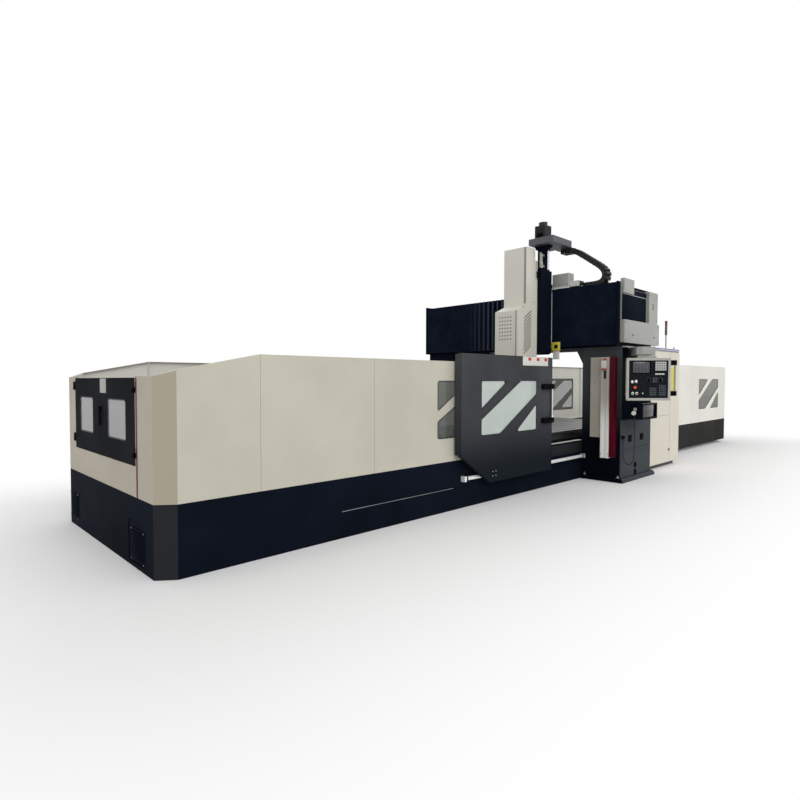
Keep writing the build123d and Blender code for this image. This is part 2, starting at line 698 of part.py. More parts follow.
def z_column():
    """The upright guide that carries the head's rails, with a post and rod under the tray."""
    top = 3450
    body = block(Z_COLUMN_X, Z_COLUMN_Y, (2050, top))
    body = chamfer(body.edges().group_by(Axis.Z)[0], 25)
    inset = 60
    body -= block(
        (Z_COLUMN_X[0] + inset, Z_COLUMN_X[1] - inset), (Z_COLUMN_Y[0] + inset, Z_COLUMN_Y[1] - inset),
        (2110, top - 60),
    )
    post = block((-890, -790), (-860, -740), (top, TRAY_Z[0] - 14))
    fork = end_prism(
        [(-880, TRAY_Z[0] - 60), (-720, TRAY_Z[0] - 60), (-690, TRAY_Z[0]), (-960, TRAY_Z[0])], (-910, -770)
    )
    fork -= block((-890, -790), (-860, -740), (TRAY_Z[0] - 61, TRAY_Z[0] - 14))
    rails = []
    for y in Z_RAIL_Y:
        rails.append(block((Z_COLUMN_X[0] - 35, Z_COLUMN_X[0]), (y - 24, y + 24), (2080, top - 15)))
    balance = rod((-735, -835, top), (-735, -835, TRAY_Z[0]), 14)
    save("z_column", body, post, fork, *rails, balance)


def motor_tray():
    """The open tray on top of the upright guide, and the plate beside it that holds the chain's end."""
    x = (-1040, -430)
    y = (-1100, -660)
    tray = block(x, y, TRAY_Z)
    tray -= block((x[0] + 10, x[1] - 10), (y[0] + 10, y[1] - 10), (TRAY_Z[0] + 10, TRAY_Z[1] + 1))
    plate = block((x[1], CHAIN_X[1] + 4), (-1080, -800), (TRAY_Z[0], TRAY_Z[0] + 12))
    save("motor_tray", tray, plate)


def z_motor():
    """The finned motor that drives the head, its flange and a gusset plate."""
    x, y = -830, -800
    half = 96
    body = block((x - half, x + half), (y - half, y + half), (TRAY_Z[0] + 30, 4180))
    for step in range(-3, 4):
        offset = step * 25
        for sign in (-1, 1):
            edge = sign * half
            body -= block((x + offset - 6, x + offset + 6), (y + edge - 14, y + edge + 14), (3890, 4170))
            body -= block((x + edge - 14, x + edge + 14), (y + offset - 6, y + offset + 6), (3890, 4170))
    flange_z = (TRAY_Z[0] + 10, TRAY_Z[0] + 30)
    flange = block((x - 125, x + 125), (y - 125, y + 125), flange_z)
    cap = rod((x, y, 4180), (x, y, 4245), 70)
    low = flange_z[1]
    gusset = side_prism([(x + 96, low), (x + 230, low), (x + 96, 4090)], (y - 10, y + 10))
    foot = block((x + 125, x + 230), (y - 60, y + 60), flange_z)
    save("z_motor", flange, body, cap, gusset, foot)


def head_outline(inset):
    """The head cover from the side: the lower half stands out in front."""
    return [
        (COVER_BACK, HEAD_FOOT), (LOWER_HEAD_FRONT + inset, HEAD_FOOT),
        (LOWER_HEAD_FRONT + inset, 2730 - inset), (UPPER_HEAD_FRONT + inset, 2830 - inset),
        (UPPER_HEAD_FRONT + inset, HEAD_TOP - inset), (COVER_BACK, HEAD_TOP - inset),
    ]


def head_cover():
    """The head's sheet-metal cover with slanting louvres, a round perforation and a groove."""
    skin = 8
    cover = side_prism(head_outline(0), HEAD_Y)
    inner = side_prism(head_outline(skin), (HEAD_Y[0] + skin, HEAD_Y[1] - skin))
    mouth = block((LOWER_HEAD_FRONT + skin, COVER_BACK), (HEAD_Y[0] + skin, HEAD_Y[1] - skin), (1890, 1950))
    cover = cover - inner - mouth
    for y in ((HEAD_Y[0], HEAD_Y[0] + skin), (HEAD_Y[1] - skin, HEAD_Y[1])):
        cover += block((COVER_BACK, CHEEK_BACK), y, (HEAD_FOOT, CHEEK_TOP))
    for number in range(12):
        z = 2041 + number * 51.7
        slot = [(-1375, z), (-1160, z + 135), (-1160, z + 149), (-1375, z + 14)]
        cover -= side_prism(slot, (HEAD_Y[0] - 1, HEAD_Y[0] + skin + 1))
    for column_number in range(5):
        for row in range(7):
            y = -657 + column_number * 53
            z = 2280 + row * 59
            hole = Plane(origin=(LOWER_HEAD_FRONT - 1, y, z), z_dir=(1, 0, 0)) * RegularPolygon(13, 6)
            cover -= extrude(hole, amount=skin + 2)
    cover -= block((UPPER_HEAD_FRONT - 1, UPPER_HEAD_FRONT + 5), (-775, -735), (2860, HEAD_TOP + 1))
    cover -= block((LOWER_HEAD_FRONT - 1, LOWER_HEAD_FRONT + 4), (-762, -752), (HEAD_FOOT - 1, 2741))
    save("head_cover", cover)


def ram():
    """The square ram with its back plate on four bearing blocks, and the spindle's housing."""
    bar = block((-1490, HEAD_BACK), (-725, -425), (1560, 2680))
    bar += block((-1270, HEAD_BACK), (-725, -425), (2680, 3400))
    plate = block((HEAD_BACK, HEAD_BACK + 20), (HEAD_Y[0] + 20, HEAD_Y[1] - 20), (2000, 3400))
    blocks = []
    for y in Z_RAIL_Y:
        for z in (2700, 3095):
            shoe = block((HEAD_BACK + 20, Z_COLUMN_X[0] - 8), (y - 52, y + 52), (z - 105, z + 105))
            shoe -= block((Z_COLUMN_X[0] - 37, Z_COLUMN_X[0]), (y - 26, y + 26), (z - 106, z + 106))
            blocks.append(shoe)
    centre = (SPINDLE_X, SPINDLE_Y)
    housing = rod((*centre, 1400), (*centre, 1560), 118)
    housing = chamfer(housing.edges().group_by(Axis.Z)[0], 14)
    housing -= rod((*centre, 1399), (*centre, 1540), 45)
    save("spindle_ram", bar, plate, *blocks, housing)


def spindle():
    """The turning spindle: a nose with a steep taper and two drive keys, on a shaft."""
    centre = (SPINDLE_X, SPINDLE_Y)
    nose = rod((*centre, SPINDLE_NOSE), (*centre, 1399.2), 64)
    shaft = rod((*centre, 1399.2), (*centre, 1539), 44.95)
    solid = nose + shaft
    taper = Cone(34.9, 20, 102, align=(Align.CENTER, Align.CENTER, Align.MIN))
    solid -= Pos(*centre, SPINDLE_NOSE) * taper
    for sign in (-1, 1):
        y = SPINDLE_Y + sign * 50
        solid += block((SPINDLE_X - 12, SPINDLE_X + 12), (y - 11, y + 11), (SPINDLE_NOSE - 8, SPINDLE_NOSE))
    save("spindle", solid)


def cable_chain():
    """The cable chain: a low run on the crossbeam, a turn, and a slanting run up to the tray."""
    low = CHAIN_LOW_Z + 44
    route = [(-300, low), (-1380, low), (-1545, low), (-1625, 3215), (-1665, 3270), (-1672, 3330),
             (-1650, 3395), (-1600, 3455), (-1522, 3517), (-1330, 3660), (-1200, 3755),
             (-1130, 3795), (-1060, 3806), (-900, 3806)]
    half = 44
    upper = []
    lower = []
    for number, point in enumerate(route):
        before = route[max(number - 1, 0)]
        after = route[min(number + 1, len(route) - 1)]
        along = Vector(after[0] - before[0], after[1] - before[1], 0).normalized()
        upper.append((point[0] - along.Y * half, point[1] + along.X * half))
        lower.append((point[0] + along.Y * half, point[1] - along.X * half))
    save("cable_chain", end_prism(upper + lower[::-1], CHAIN_X))


# Doors


def sliding_door():
    """The operator's door, parked left of the doorway, with its glass, runners and pull."""
    left, right = DOOR_X
    low, high = DOOR_Z
    face = outline([(left, 681), (left + 599, low), (right, low), (right, high), (left, high)])
    window = ((-3450, -2130), (905, 1615))
    skin = 4
    leaf = pan(face, window_outlines(*window), DOOR_Y, skin, 6)
    returns = [
        block((left, left + 10), (DOOR_Y[1], -1380), (690, high - 10)),
        block((right - 10, right), (DOOR_Y[1], -1385), (DOOR_RAIL_Z + 45, high - 10)),
    ]
    top_rail = block((left + 20, right - 20), (DOOR_Y[1], DOOR_Y[1] + 26), (1882, 1918))
    shoes = []
    for x in (-3250, -1900):
        shoe = block((x - 50, x + 50), (DOOR_Y[1], -1364), (DOOR_RAIL_Z - 38, DOOR_RAIL_Z + 38))
        bore = DOOR_RAIL_RADIUS + 0.05
        shoes.append(shoe - rod((x - 51, DOOR_RAIL_Y, DOOR_RAIL_Z), (x + 51, DOOR_RAIL_Y, DOOR_RAIL_Z), bore))
    save("sliding_door", leaf, *returns, top_rail, *shoes)
    save("sliding_door_glass", pane(window, (DOOR_Y[0] + skin, DOOR_Y[0] + skin + 6)))
    pull = []
    for z in (1030, 1524):
        pull.append(rounded_block((-2010, -1712), (-1526, DOOR_Y[0]), (z - 38, z + 38), 30))
    pull.append(rod((-1745, -1509, 1068), (-1745, -1509, 1486), 12))
    save("door_pull", *pull)


def door_runners():
    """The round rail in its brackets, and the guide that holds the door's top rail."""
    y, z = DOOR_RAIL_Y, DOOR_RAIL_Z
    bar = rod((-3660, y, z), (-555, y, z), DOOR_RAIL_RADIUS)
    brackets = []
    for x in ((-3700, -3660), (-555, COLUMN_FRONT - 1)):
        brackets.append(block(x, (y - 26, -HALF_WIDTH), (z - 34, z + 34)))
    guide = block((-2100, -1950), (-1420, -1392), (1862, 1938))
    guide -= block((-2101, -1949), (-1421, -1396), (1879, 1921))
    foot = block((-2100, -1950), (-1392, -1330), (LEFT_GUARD_TOP, 1938))
    save("door_rail", bar, *brackets, guide + foot)


def end_door(y, window_y):
    """A leaf of the left end's double door, a folded sheet with its window opening."""
    x = (-HALF_LENGTH, -HALF_LENGTH + WALL)
    window_z = (1075, 1448)
    leaf = block(x, y, END_DOOR_Z)
    pocket = block(
        (x[0] + SHEET, x[1] + 1), (y[0] + FLANGE, y[1] - FLANGE),
        (END_DOOR_Z[0] + FLANGE, END_DOOR_Z[1] - FLANGE),
    )
    opening = rounded_block((x[0] - 1, x[1] + 1), window_y, window_z, 36, Axis.X)
    return leaf - pocket - opening


def hinge_halves(hinge_y, leaf_side):
    """Fixed and moving halves of the two hinges beside one leaf: leaf_side is 1 towards +Y."""
    fixed = []
    moving = []
    skin = -HALF_LENGTH
    for z in END_HINGE_Z:
        centre = (END_HINGE_X, hinge_y)
        pin = rod((*centre, z - 45), (*centre, z + 45), 5)
        knuckle = rod((*centre, z - 45), (*centre, z - 0.5), 10)
        plate = block((skin - 4, skin), (hinge_y, hinge_y - leaf_side * 28), (z - 45, z - 0.5))
        fixed.append(plate + knuckle + pin)
        sleeve = rod((*centre, z + 0.5), (*centre, z + 45), 10)
        flap = block((skin - 4, skin), (hinge_y, hinge_y + leaf_side * 40), (z + 0.5, z + 45))
        bore = rod((*centre, z), (*centre, z + 46), 5.05)
        moving.append(flap + sleeve - bore)
    return fixed, moving


def end_doors():
    """Both leaves of the left end's door, their panes, hinges and the swing handle."""
    near_fixed, near_moving = hinge_halves(END_HINGE_Y[0], 1)
    far_fixed, far_moving = hinge_halves(END_HINGE_Y[1], -1)
    near_window = (-640, -130)
    far_window = (330, 795)
    near = end_door((END_DOOR_Y[0], END_DOOR_SEAM - 2), near_window)
    far = end_door((END_DOOR_SEAM + 2, END_DOOR_Y[1]), far_window)
    save("near_end_door", near, *near_moving)
    save("far_end_door", far, *far_moving)
    save("end_hinges", *near_fixed, *far_fixed)
    glass_x = (-HALF_LENGTH + SHEET, -HALF_LENGTH + SHEET + 5)
    for name, window in (("near_end_glass", near_window), ("far_end_glass", far_window)):
        y = (window[0] - 30, window[1] + 30)
        save(name, block(glass_x, y, (1045, 1478)))
    stem = rod((-HALF_LENGTH - 0.5, 50, 1346), (-HALF_LENGTH - 14, 50, 1346), 17)
    lever = rounded_block((-HALF_LENGTH - 32, -HALF_LENGTH - 14), (38, 62), (1176, 1366), 10, Axis.X)
    save("end_door_handle", stem, lever)


# Electrical cabinet


def cabinet():
    """The electrical cabinet beside the near column: its walls, back plate and rows of gear."""
    x0, x1 = CABINET_X
    front, back = CABINET_Y
    wall = 6
    foot = 75
    door_top = CABINET_TOP - 75
    split = CABINET_DOOR_X[1] + 15
    walls = [
        block((x0, x0 + wall), CABINET_Y, (foot, CABINET_TOP)),
        block((x1 - wall, x1), CABINET_Y, (foot, CABINET_TOP)),
        block((x0 + wall, x1 - wall), CABINET_Y, (CABINET_TOP - wall, CABINET_TOP)),
        block((x0 + wall, x1 - wall), CABINET_Y, (foot, foot + wall)),
        block((x0 + wall, x1 - wall), (back - wall, back), (foot + wall, CABINET_TOP - wall)),
        block((split - 30, x1 - wall), (front, front + 20), (foot + wall, door_top)),
        block((x0 + wall, x1 - wall), (front, front + 20), (door_top, CABINET_TOP - wall)),
        block((split + 2, x1 - 20), (front - 20, front), (foot + 16, door_top - 4)),
    ]
    plinth = block((x0 + 60, x1 - 60), (front + 60, back), (0, foot))
    plinth -= block((x0 + 66, x1 - 66), (front + 66, back - 6), (-1, foot - 6))
    plate = block((x0 + 70, x1 - 70), (back - 26, back - wall), (160, 2000))
    rows = []
    for z in (350, 800, 1250, 1700):
        rows.append(block((x0 + 130, x1 - 130), (back - 160, back - 26), (z - 80, z + 80)))
    band = block((x0 + 10, x0 + 1080), (front - 6, front), (CABINET_TOP - 60, CABINET_TOP - 4))
    hinge_pins = []
    for z in CABINET_HINGE_Z[0] + CABINET_HINGE_Z[1]:
        centre = (CABINET_HINGE_X, CABINET_HINGE_Y)
        pin = rod((*centre, z - 40), (*centre, z), 8)
        lug = block((x0, CABINET_HINGE_X + 2), (CABINET_HINGE_Y, front), (z - 40, z))
        hinge_pins.append(pin + lug)
    save("cabinet", *walls, plinth, plate, *rows, band, *hinge_pins)
    lower_z = (foot + 16, CABINET_SEAM_Z - 2)
    upper_z = (CABINET_SEAM_Z + 2, door_top)
    save("cabinet_lower_door", *cabinet_door(lower_z, CABINET_HINGE_Z[0], 315))
    save("cabinet_upper_door", *cabinet_door(upper_z, CABINET_HINGE_Z[1], 1560))
    save("signal_tower", *signal_tower())


def cabinet_door(z, hinges, lock_z):
    """A flat cabinet door with sleeves round its hinge line and a round lock."""
    y = (CABINET_Y[0] - 22, CABINET_Y[0] - 1)
    leaf = rounded_block(CABINET_DOOR_X, y, z, 8)
    left, right = CABINET_DOOR_X
    leaf -= block((left + 12, right - 12), (y[0] + 3, y[1] + 1), (z[0] + 12, z[1] - 12))
    sleeves = []
    for hinge in hinges:
        centre = (CABINET_HINGE_X, CABINET_HINGE_Y)
        sleeve = rod((*centre, hinge + 0.5), (*centre, hinge + 40), 8)
        ear_y = (CABINET_HINGE_Y - 3, CABINET_HINGE_Y + 3)
        ear = block((CABINET_HINGE_X, left), ear_y, (hinge + 0.5, hinge + 40))
        sleeves.append(sleeve + ear)
    lock = rod((CABINET_DOOR_X[1] - 40, y[0], lock_z), (CABINET_DOOR_X[1] - 40, y[0] - 8, lock_z), 20)
    return [leaf, *sleeves, lock]


def signal_tower():
    """The slim signal tower on the cabinet: foot, tube, three lamps and a cap."""
    x, y = 2340, -1640
    lamps_from = 2500
    pieces = [
        rod((x, y, CABINET_TOP), (x, y, CABINET_TOP + 12), 34),
        rod((x, y, CABINET_TOP + 12), (x, y, lamps_from), 11),
    ]
    for number in range(3):
        low = lamps_from + number * 86
        pieces.append(rod((x, y, low), (x, y, low + 84), 22))
    pieces.append(rod((x, y, lamps_from + 256), (x, y, lamps_from + 274), 24))
    return pieces


# Operator's side


def operator_box():
    """The dark box on the near column's side: a framed window in front, a hook at the side."""
    box = block(BOX_X, BOX_Y, BOX_Z)
    frame = (BOX_X[0] + 30, BOX_X[1] - 30)
    box -= block(frame, (BOX_Y[0] - 1, BOX_Y[0] + 14), (BOX_Z[0] + 28, BOX_Z[1] - 28))
    box -= block((BOX_X[0] + 4, BOX_X[1] - 4), (BOX_Y[0] + 18, BOX_Y[1] - 4), (BOX_Z[0] + 4, BOX_Z[1] - 4))
    hook = block((BOX_X[0] - 3, BOX_X[0]), (-2240, -2180), (1150, 1215))
    save("operator_box", box, hook)


def handwheel():
    """The hand-held pulse unit that hangs on the box, its dial and its cord."""
    x = (BOX_X[0] - 60, BOX_X[0] - 3)
    body = rounded_block(x, (-2255, -2165), (1067, 1200), 18, Axis.X)
    sleeve = rod((-530, -2210, 1055), (-530, -2210, 1067), 8)
    hub = rod((x[0], -2210, 1112), (x[0] - 3, -2210, 1112), 33)
    knob = block((x[0] - 14, x[0]), (-2240, -2226), (1168, 1182))
    save("handwheel_unit", body, sleeve, hub, knob)
    dial = rod((x[0] - 3.4, -2210, 1112), (x[0] - 18, -2210, 1112), 30)
    crank = rod((x[0] - 18, -2190, 1112), (x[0] - 34, -2190, 1112), 6)
    save("handwheel_dial", dial + crank)


def handwheel_cord():
    """The handwheel's cord: down from the unit, round a slack loop and up into its gland."""
    points = [Vector(*p) for p in CORD_ROUTE]
    radii = []
    for a, b, c in zip(points, points[1:], points[2:]):
        turn = math.radians((b - a).get_angle(c - b))
        shorter = min((b - a).length, (c - b).length)
        radii.append(0.45 * shorter / math.tan(turn / 2))
    path = FilletPolyline(*CORD_ROUTE, radius=radii)
    start = Plane(origin=path @ 0, z_dir=path % 0)
    tube = sweep(start * Circle(CORD_RADIUS), path=path)
    print("cord length", round(path.length), "smallest radius", round(min(radii)))
    print("cord volume share", round(tube.volume / (math.pi * CORD_RADIUS**2 * path.length), 4))
    save("handwheel_cord", tube)


def to_world(solid):
    """From the pendant's own frame (X right, Y into the case, Z up) to the machine's."""
    return Location(PENDANT_CENTRE, (0, 0, PENDANT_TURN)) * solid


def pendant_pivot():
    """The upright line round which the pendant turns, in plan."""
    turn = math.radians(PENDANT_TURN)
    along, deep = -110, 55
    x = PENDANT_CENTRE[0] + along * math.cos(turn) - deep * math.sin(turn)
    y = PENDANT_CENTRE[1] + along * math.sin(turn) + deep * math.cos(turn)
    return x, y


# Place, radius and kind of each control on the pendant's face, from its centre
STOP_BUTTON = (-212, -122)
START_KEY = (-237, -212)
HOLD_KEY = (-177, -212)
DIALS = ((0, -6), (180, -6))
SCREEN = ((-240, 18), (95, 262))
KEYPAD = ((92, 264), (126, 268))
KEY_ROW = ((92, 236), (60, 96))
KEY_BLOCKS = (((-110, -40), (-236, -186)), ((10, 120), (-250, -120)), ((150, 262), (-250, -80)))


def pendant():
    """The pendant: a light case with its side handle, a dark face, and every control."""
    half_x = PENDANT_WIDTH / 2
    half_z = PENDANT_HEIGHT / 2
    inset = 36
    rear_x = half_x - inset
    rear_z = half_z - inset
    bezel = 26
    case = rounded_block((-half_x, half_x), (0, bezel), (-half_z, half_z), 16)
    case += rounded_block((-rear_x, rear_x), (bezel, PENDANT_DEPTH), (-rear_z, rear_z), 12)
    case -= block((-rear_x, rear_x), (-1, 6), (-rear_z, rear_z))
    case -= block((-rear_x + 10, rear_x - 10), (5, PENDANT_DEPTH - 6), (-rear_z + 10, rear_z - 10))
    brackets = []
    for z in ((208, 290), (-253, -173)):
        brackets.append(block((rear_x, half_x + 112), (30, 70), z))
    grip = rod((half_x + 92, 50, -173), (half_x + 92, 50, 208), 13)
    shoulder = side_prism(
        [(-150, rear_z), (150, rear_z), (120, half_z + 46), (-140, half_z + 46)], (36, 96)
    )
    x, y = pendant_pivot()
    neck = rod((x, y, PENDANT_CENTRE[2] + half_z + 46), (x, y, ARM_Z[0] - 1), 30)
    pin = rod((x, y, ARM_Z[0] - 1), (x, y, ARM_Z[0] + 80), 15)
    turned = [to_world(s) for s in (case, *brackets, grip, shoulder)]
    save("pendant_case", *turned, neck + pin)

    face = block((-half_x + 37, half_x - 37), (0, 6), (-half_z + 37, half_z - 37))
    for (cx, cz), radius in control_holes():
        face -= rod((cx, -1, cz), (cx, 7, cz), radius)
    face -= block(SCREEN[0], (-1, 2), SCREEN[1])
    for span_x, span_z in (KEYPAD, KEY_ROW, *KEY_BLOCKS):
        face += block(span_x, (-3, 1), span_z)
    save("pendant_face", to_world(face))

    cx, cz = STOP_BUTTON
    stop = rod((cx, -32, cz), (cx, -12, cz), 22) + rod((cx, -12, cz), (cx, 30, cz), 11)
    save("stop_button", to_world(chamfer(stop.edges().group_by(Axis.Y)[0], 6)))
    for name, (cx, cz) in (("start_key", START_KEY), ("hold_key", HOLD_KEY)):
        save(name, to_world(rod((cx, -9, cz), (cx, 24, cz), 13)))
    for name, (cx, cz) in zip(("feed_dial", "speed_dial"), DIALS):
        knob = rod((cx, -22, cz), (cx, -2, cz), 21) + rod((cx, -2, cz), (cx, 24, cz), 8)
        knob -= block((cx - 22, cx - 12), (-23, -8), (cz - 22, cz + 22))
        knob -= block((cx + 12, cx + 22), (-23, -8), (cz - 22, cz + 22))
        save(name, to_world(knob))


def control_holes():
    """Each hole in the pendant's face with its radius, a little wider than what passes through."""
    holes = [(STOP_BUTTON, 11.3), (START_KEY, 13.3), (HOLD_KEY, 13.3)]
    holes += [(place, 8.05) for place in DIALS]
    return holes


def pendant_arm():
    """The box-section arm between the column's fork and the pendant's neck."""
    start = Vector(*ARM_ROOT, 0)
    end = Vector(*pendant_pivot(), 0)
    along = (end - start).normalized()
    across = Vector(-along.Y, along.X, 0) * 58
    root = start - along * 40
    tip = end + along * 50
    points = [root + across, tip + across, tip - across, root - across]
    arm = plan_prism([(p.X, p.Y) for p in points], ARM_Z)
    arm = fillet(arm.edges().filter_by(Axis.Z), 25)
    arm -= rod((start.X, start.Y, ARM_Z[0] - 1), (start.X, start.Y, ARM_Z[1] + 1), 16.05)
    arm -= rod((end.X, end.Y, ARM_Z[0] - 1), (end.X, end.Y, ARM_Z[0] + 81), 15.05)
    save("pendant_arm", arm)


skirts()
bed()
linear_rails()
guards()
table()
way_covers()
columns()
crossbeam()
beam_bellows()
beam_end_cover()
jamb()
saddle()
z_column()
motor_tray()
z_motor()
head_cover()
ram()
spindle()
cable_chain()
sliding_door()
door_runners()
end_doors()
cabinet()
operator_box()
handwheel()
handwheel_cord()
pendant()
pendant_arm()
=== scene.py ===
"""Dresses the double-column milling machine for its picture: finishes, small fittings and the studio."""

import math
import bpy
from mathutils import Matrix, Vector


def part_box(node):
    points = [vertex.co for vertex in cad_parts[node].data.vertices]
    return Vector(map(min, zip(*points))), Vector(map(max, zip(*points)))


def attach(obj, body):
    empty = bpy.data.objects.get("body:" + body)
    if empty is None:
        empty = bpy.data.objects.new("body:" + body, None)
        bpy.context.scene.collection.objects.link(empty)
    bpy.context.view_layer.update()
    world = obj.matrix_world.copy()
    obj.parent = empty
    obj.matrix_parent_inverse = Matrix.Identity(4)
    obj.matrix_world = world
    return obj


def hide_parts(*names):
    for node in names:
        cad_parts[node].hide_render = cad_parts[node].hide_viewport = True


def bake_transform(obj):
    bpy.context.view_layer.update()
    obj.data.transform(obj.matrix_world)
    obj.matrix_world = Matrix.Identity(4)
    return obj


bl_info = {
    "name": "Double-column milling machine",
    "version": (1, 0, 0),
    "blender": (4, 5, 0),
    "location": "3D View > Sidebar > Mill",
    "description": "Finishes, fittings and a studio for a double-column milling machine",
    "category": "Object",
}

import bmesh
import bpy
from mathutils import Matrix, Vector

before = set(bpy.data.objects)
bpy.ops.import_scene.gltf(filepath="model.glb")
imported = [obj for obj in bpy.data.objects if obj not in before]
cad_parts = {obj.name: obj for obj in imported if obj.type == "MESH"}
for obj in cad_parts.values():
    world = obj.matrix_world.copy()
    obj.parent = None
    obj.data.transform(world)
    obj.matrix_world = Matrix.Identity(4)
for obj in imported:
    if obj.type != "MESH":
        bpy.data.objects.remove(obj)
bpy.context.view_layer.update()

# Places on the machine, in metres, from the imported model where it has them
PENDANT_CENTRE = Vector((-0.57, -2.42, 1.63))
PENDANT_TURN = math.radians(-42.5)
PENDANT = Matrix.Translation(PENDANT_CENTRE) @ Matrix.Rotation(PENDANT_TURN, 4, "Z")
SADDLE_LOW, SADDLE_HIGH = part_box("carriage_saddle")
SADDLE_EDGE = -0.868
LEFT_WINDOW = ((-4.155, -2.83), (0.905, 1.61))
NEAR_RIGHT_WINDOW = ((5.3, 6.75), (0.925, 1.64))
FAR_RIGHT_WINDOW = ((3.0, 4.4), (0.905, 1.61))
DOOR_WINDOW = ((-3.45, -2.13), (0.905, 1.615))
END_WINDOWS = {"near_end_door": (-0.64, -0.13), "far_end_door": (0.33, 0.795)}
END_WINDOW_Z = (1.075, 1.448)
CHAIN_X = -0.355
CHAIN_ROUTE = (
    (-0.300, 3.190), (-1.380, 3.190), (-1.545, 3.190), (-1.625, 3.215), (-1.665, 3.270), (-1.672, 3.330),
    (-1.650, 3.395), (-1.600, 3.455), (-1.522, 3.517), (-1.330, 3.660), (-1.200, 3.755), (-1.130, 3.795),
    (-1.060, 3.806), (-0.900, 3.806),
)
CORD_ROUTE = (
    (-0.530, -2.210, 1.055), (-0.530, -2.210, 0.955), (-0.530, -2.212, 0.850), (-0.529, -2.213, 0.740),
    (-0.528, -2.212, 0.630), (-0.527, -2.209, 0.520), (-0.524, -2.204, 0.415), (-0.518, -2.172, 0.330),
    (-0.509, -2.118, 0.298), (-0.500, -2.062, 0.326), (-0.493, -2.034, 0.405), (-0.490, -2.027, 0.495),
    (-0.488, -2.026, 0.590), (-0.488, -2.026, 0.680),
)
CORD_DIAMETER = 0.012

# The wave texture turns through a period in 314 mm at scale 1
WAVE = 1000 * 2 * math.pi / 20

# Width of a fold's flat crest or valley
CREST = 0.006

# Specular level of the dark enamels, plastics and cloth: far below real paint's, to offset the white studio
DULL = 0.004

# The front of the beam's folded covers, their lower edge, and their rows of faces in height
COVER_FRONT = -0.628
COVER_LOW = 2.170
COVER_ROWS = 4

# The photo's camera: picture width, focal length and centre in pixels, then its place and its two angles
PICTURE_WIDTH = 800
FOCAL_LENGTH = 542.8228
PICTURE_CENTRE = (372.2326, 396.9251)
CAMERA_PLACE = (-9.12428, -5.62904, 1.62)
CAMERA_DIP = 1.79144
CAMERA_TURN = 42.46624
SENSOR_WIDTH = 36


# Colours and materials


def linear(code):
    """An sRGB hex colour as the linear RGBA that a shader takes."""
    channels = [int(code[i : i + 2], 16) / 255 for i in (1, 3, 5)]
    return [c / 12.92 if c <= 0.04045 else ((c + 0.055) / 1.055) ** 2.4 for c in channels] + [1.0]


def add(tree, kind, inputs=None, **settings):
    """Adds one node: inputs hold values, sockets, or nodes whose first enabled output feeds them."""
    node = tree.nodes.new("ShaderNode" + kind)
    for name, value in settings.items():
        setattr(node, name, value)
    for key, value in (inputs or {}).items():
        if isinstance(value, bpy.types.Node):
            value = next(socket for socket in value.outputs if socket.enabled)
        if isinstance(value, bpy.types.NodeSocket):
            tree.links.new(value, node.inputs[key])
        else:
            node.inputs[key].default_value = value
    return node


def start(name):
    """A new empty node material and its Object coordinates."""
    material = bpy.data.materials.new(name)
    material.use_nodes = True
    material.node_tree.nodes.clear()
    place = add(material.node_tree, "TexCoord").outputs["Object"]
    return material, material.node_tree, place


def painted(name, shade, darker, roughness, shine=0.5, slant_light_tone=None, foot=None):
    """Sprayed and baked paint on steel: an even coat, soft patches 0.9 m across, a faint orange peel.

    The peel is drawn 9 mm wide instead of the real 2 mm, so that it shows with the machine in full view.
    The tone for the narrow walls that stand at a slant between two sides is painted light and shade. A foot
    is a tone, painted light and shade towards the bottom, and the two heights between which it fades into the
    paint above. Both imitate the photo's light.
    """
    material, tree, place = start(name)
    clouds = add(tree, "TexNoise", {"Vector": place, "Scale": 1000 / 900, "Detail": 3.0})
    share = add(tree, "MapRange", {"Value": clouds, "From Min": 0.35, "From Max": 0.62})
    coat = {"Factor": share, "A": linear(darker), "B": linear(shade)}
    colour = add(tree, "Mix", coat, data_type="RGBA")
    # Walls whose normals point partly towards -X take the slant tone: painted light and shade.
    if slant_light_tone:
        facing = add(tree, "NewGeometry").outputs["Normal"]
        facing = add(tree, "SeparateXYZ", {"Vector": facing}).outputs["X"]
        slant = add(tree, "Math", {0: facing, 1: -0.6, 2: 0.25}, operation="COMPARE")
        slant_lit_coat = {"Factor": slant, "A": colour, "B": linear(slant_light_tone)}
        colour = add(tree, "Mix", slant_lit_coat, data_type="RGBA")
    # The foot tone is painted light and shade: lighter or darker towards the bottom.
    if foot:
        tone, low, high = foot
        height = add(tree, "SeparateXYZ", {"Vector": place}).outputs["Z"]
        height = {"Value": height, "From Min": low, "From Max": high}
        share = add(tree, "MapRange", height, interpolation_type="SMOOTHSTEP")
        faded = {"Factor": share, "A": linear(tone), "B": colour}
        colour = add(tree, "Mix", faded, data_type="RGBA")
    hands = add(tree, "TexNoise", {"Vector": place, "Scale": 1000 / 260, "Detail": 3.0})
    gloss = {"Value": hands, "To Min": roughness - 0.06, "To Max": roughness + 0.08}
    peel = add(tree, "TexNoise", {"Vector": place, "Scale": 1000 / 9, "Detail": 1.0})
    surface = add(tree, "BsdfPrincipled", {
        "Base Color": colour, "Roughness": add(tree, "MapRange", gloss), "IOR": 1.5,
        "Specular IOR Level": shine,
        "Normal": add(tree, "Bump", {"Height": peel, "Distance": 0.00025, "Strength": 0.3}),
    })
    add(tree, "OutputMaterial", {"Surface": surface})
    return material


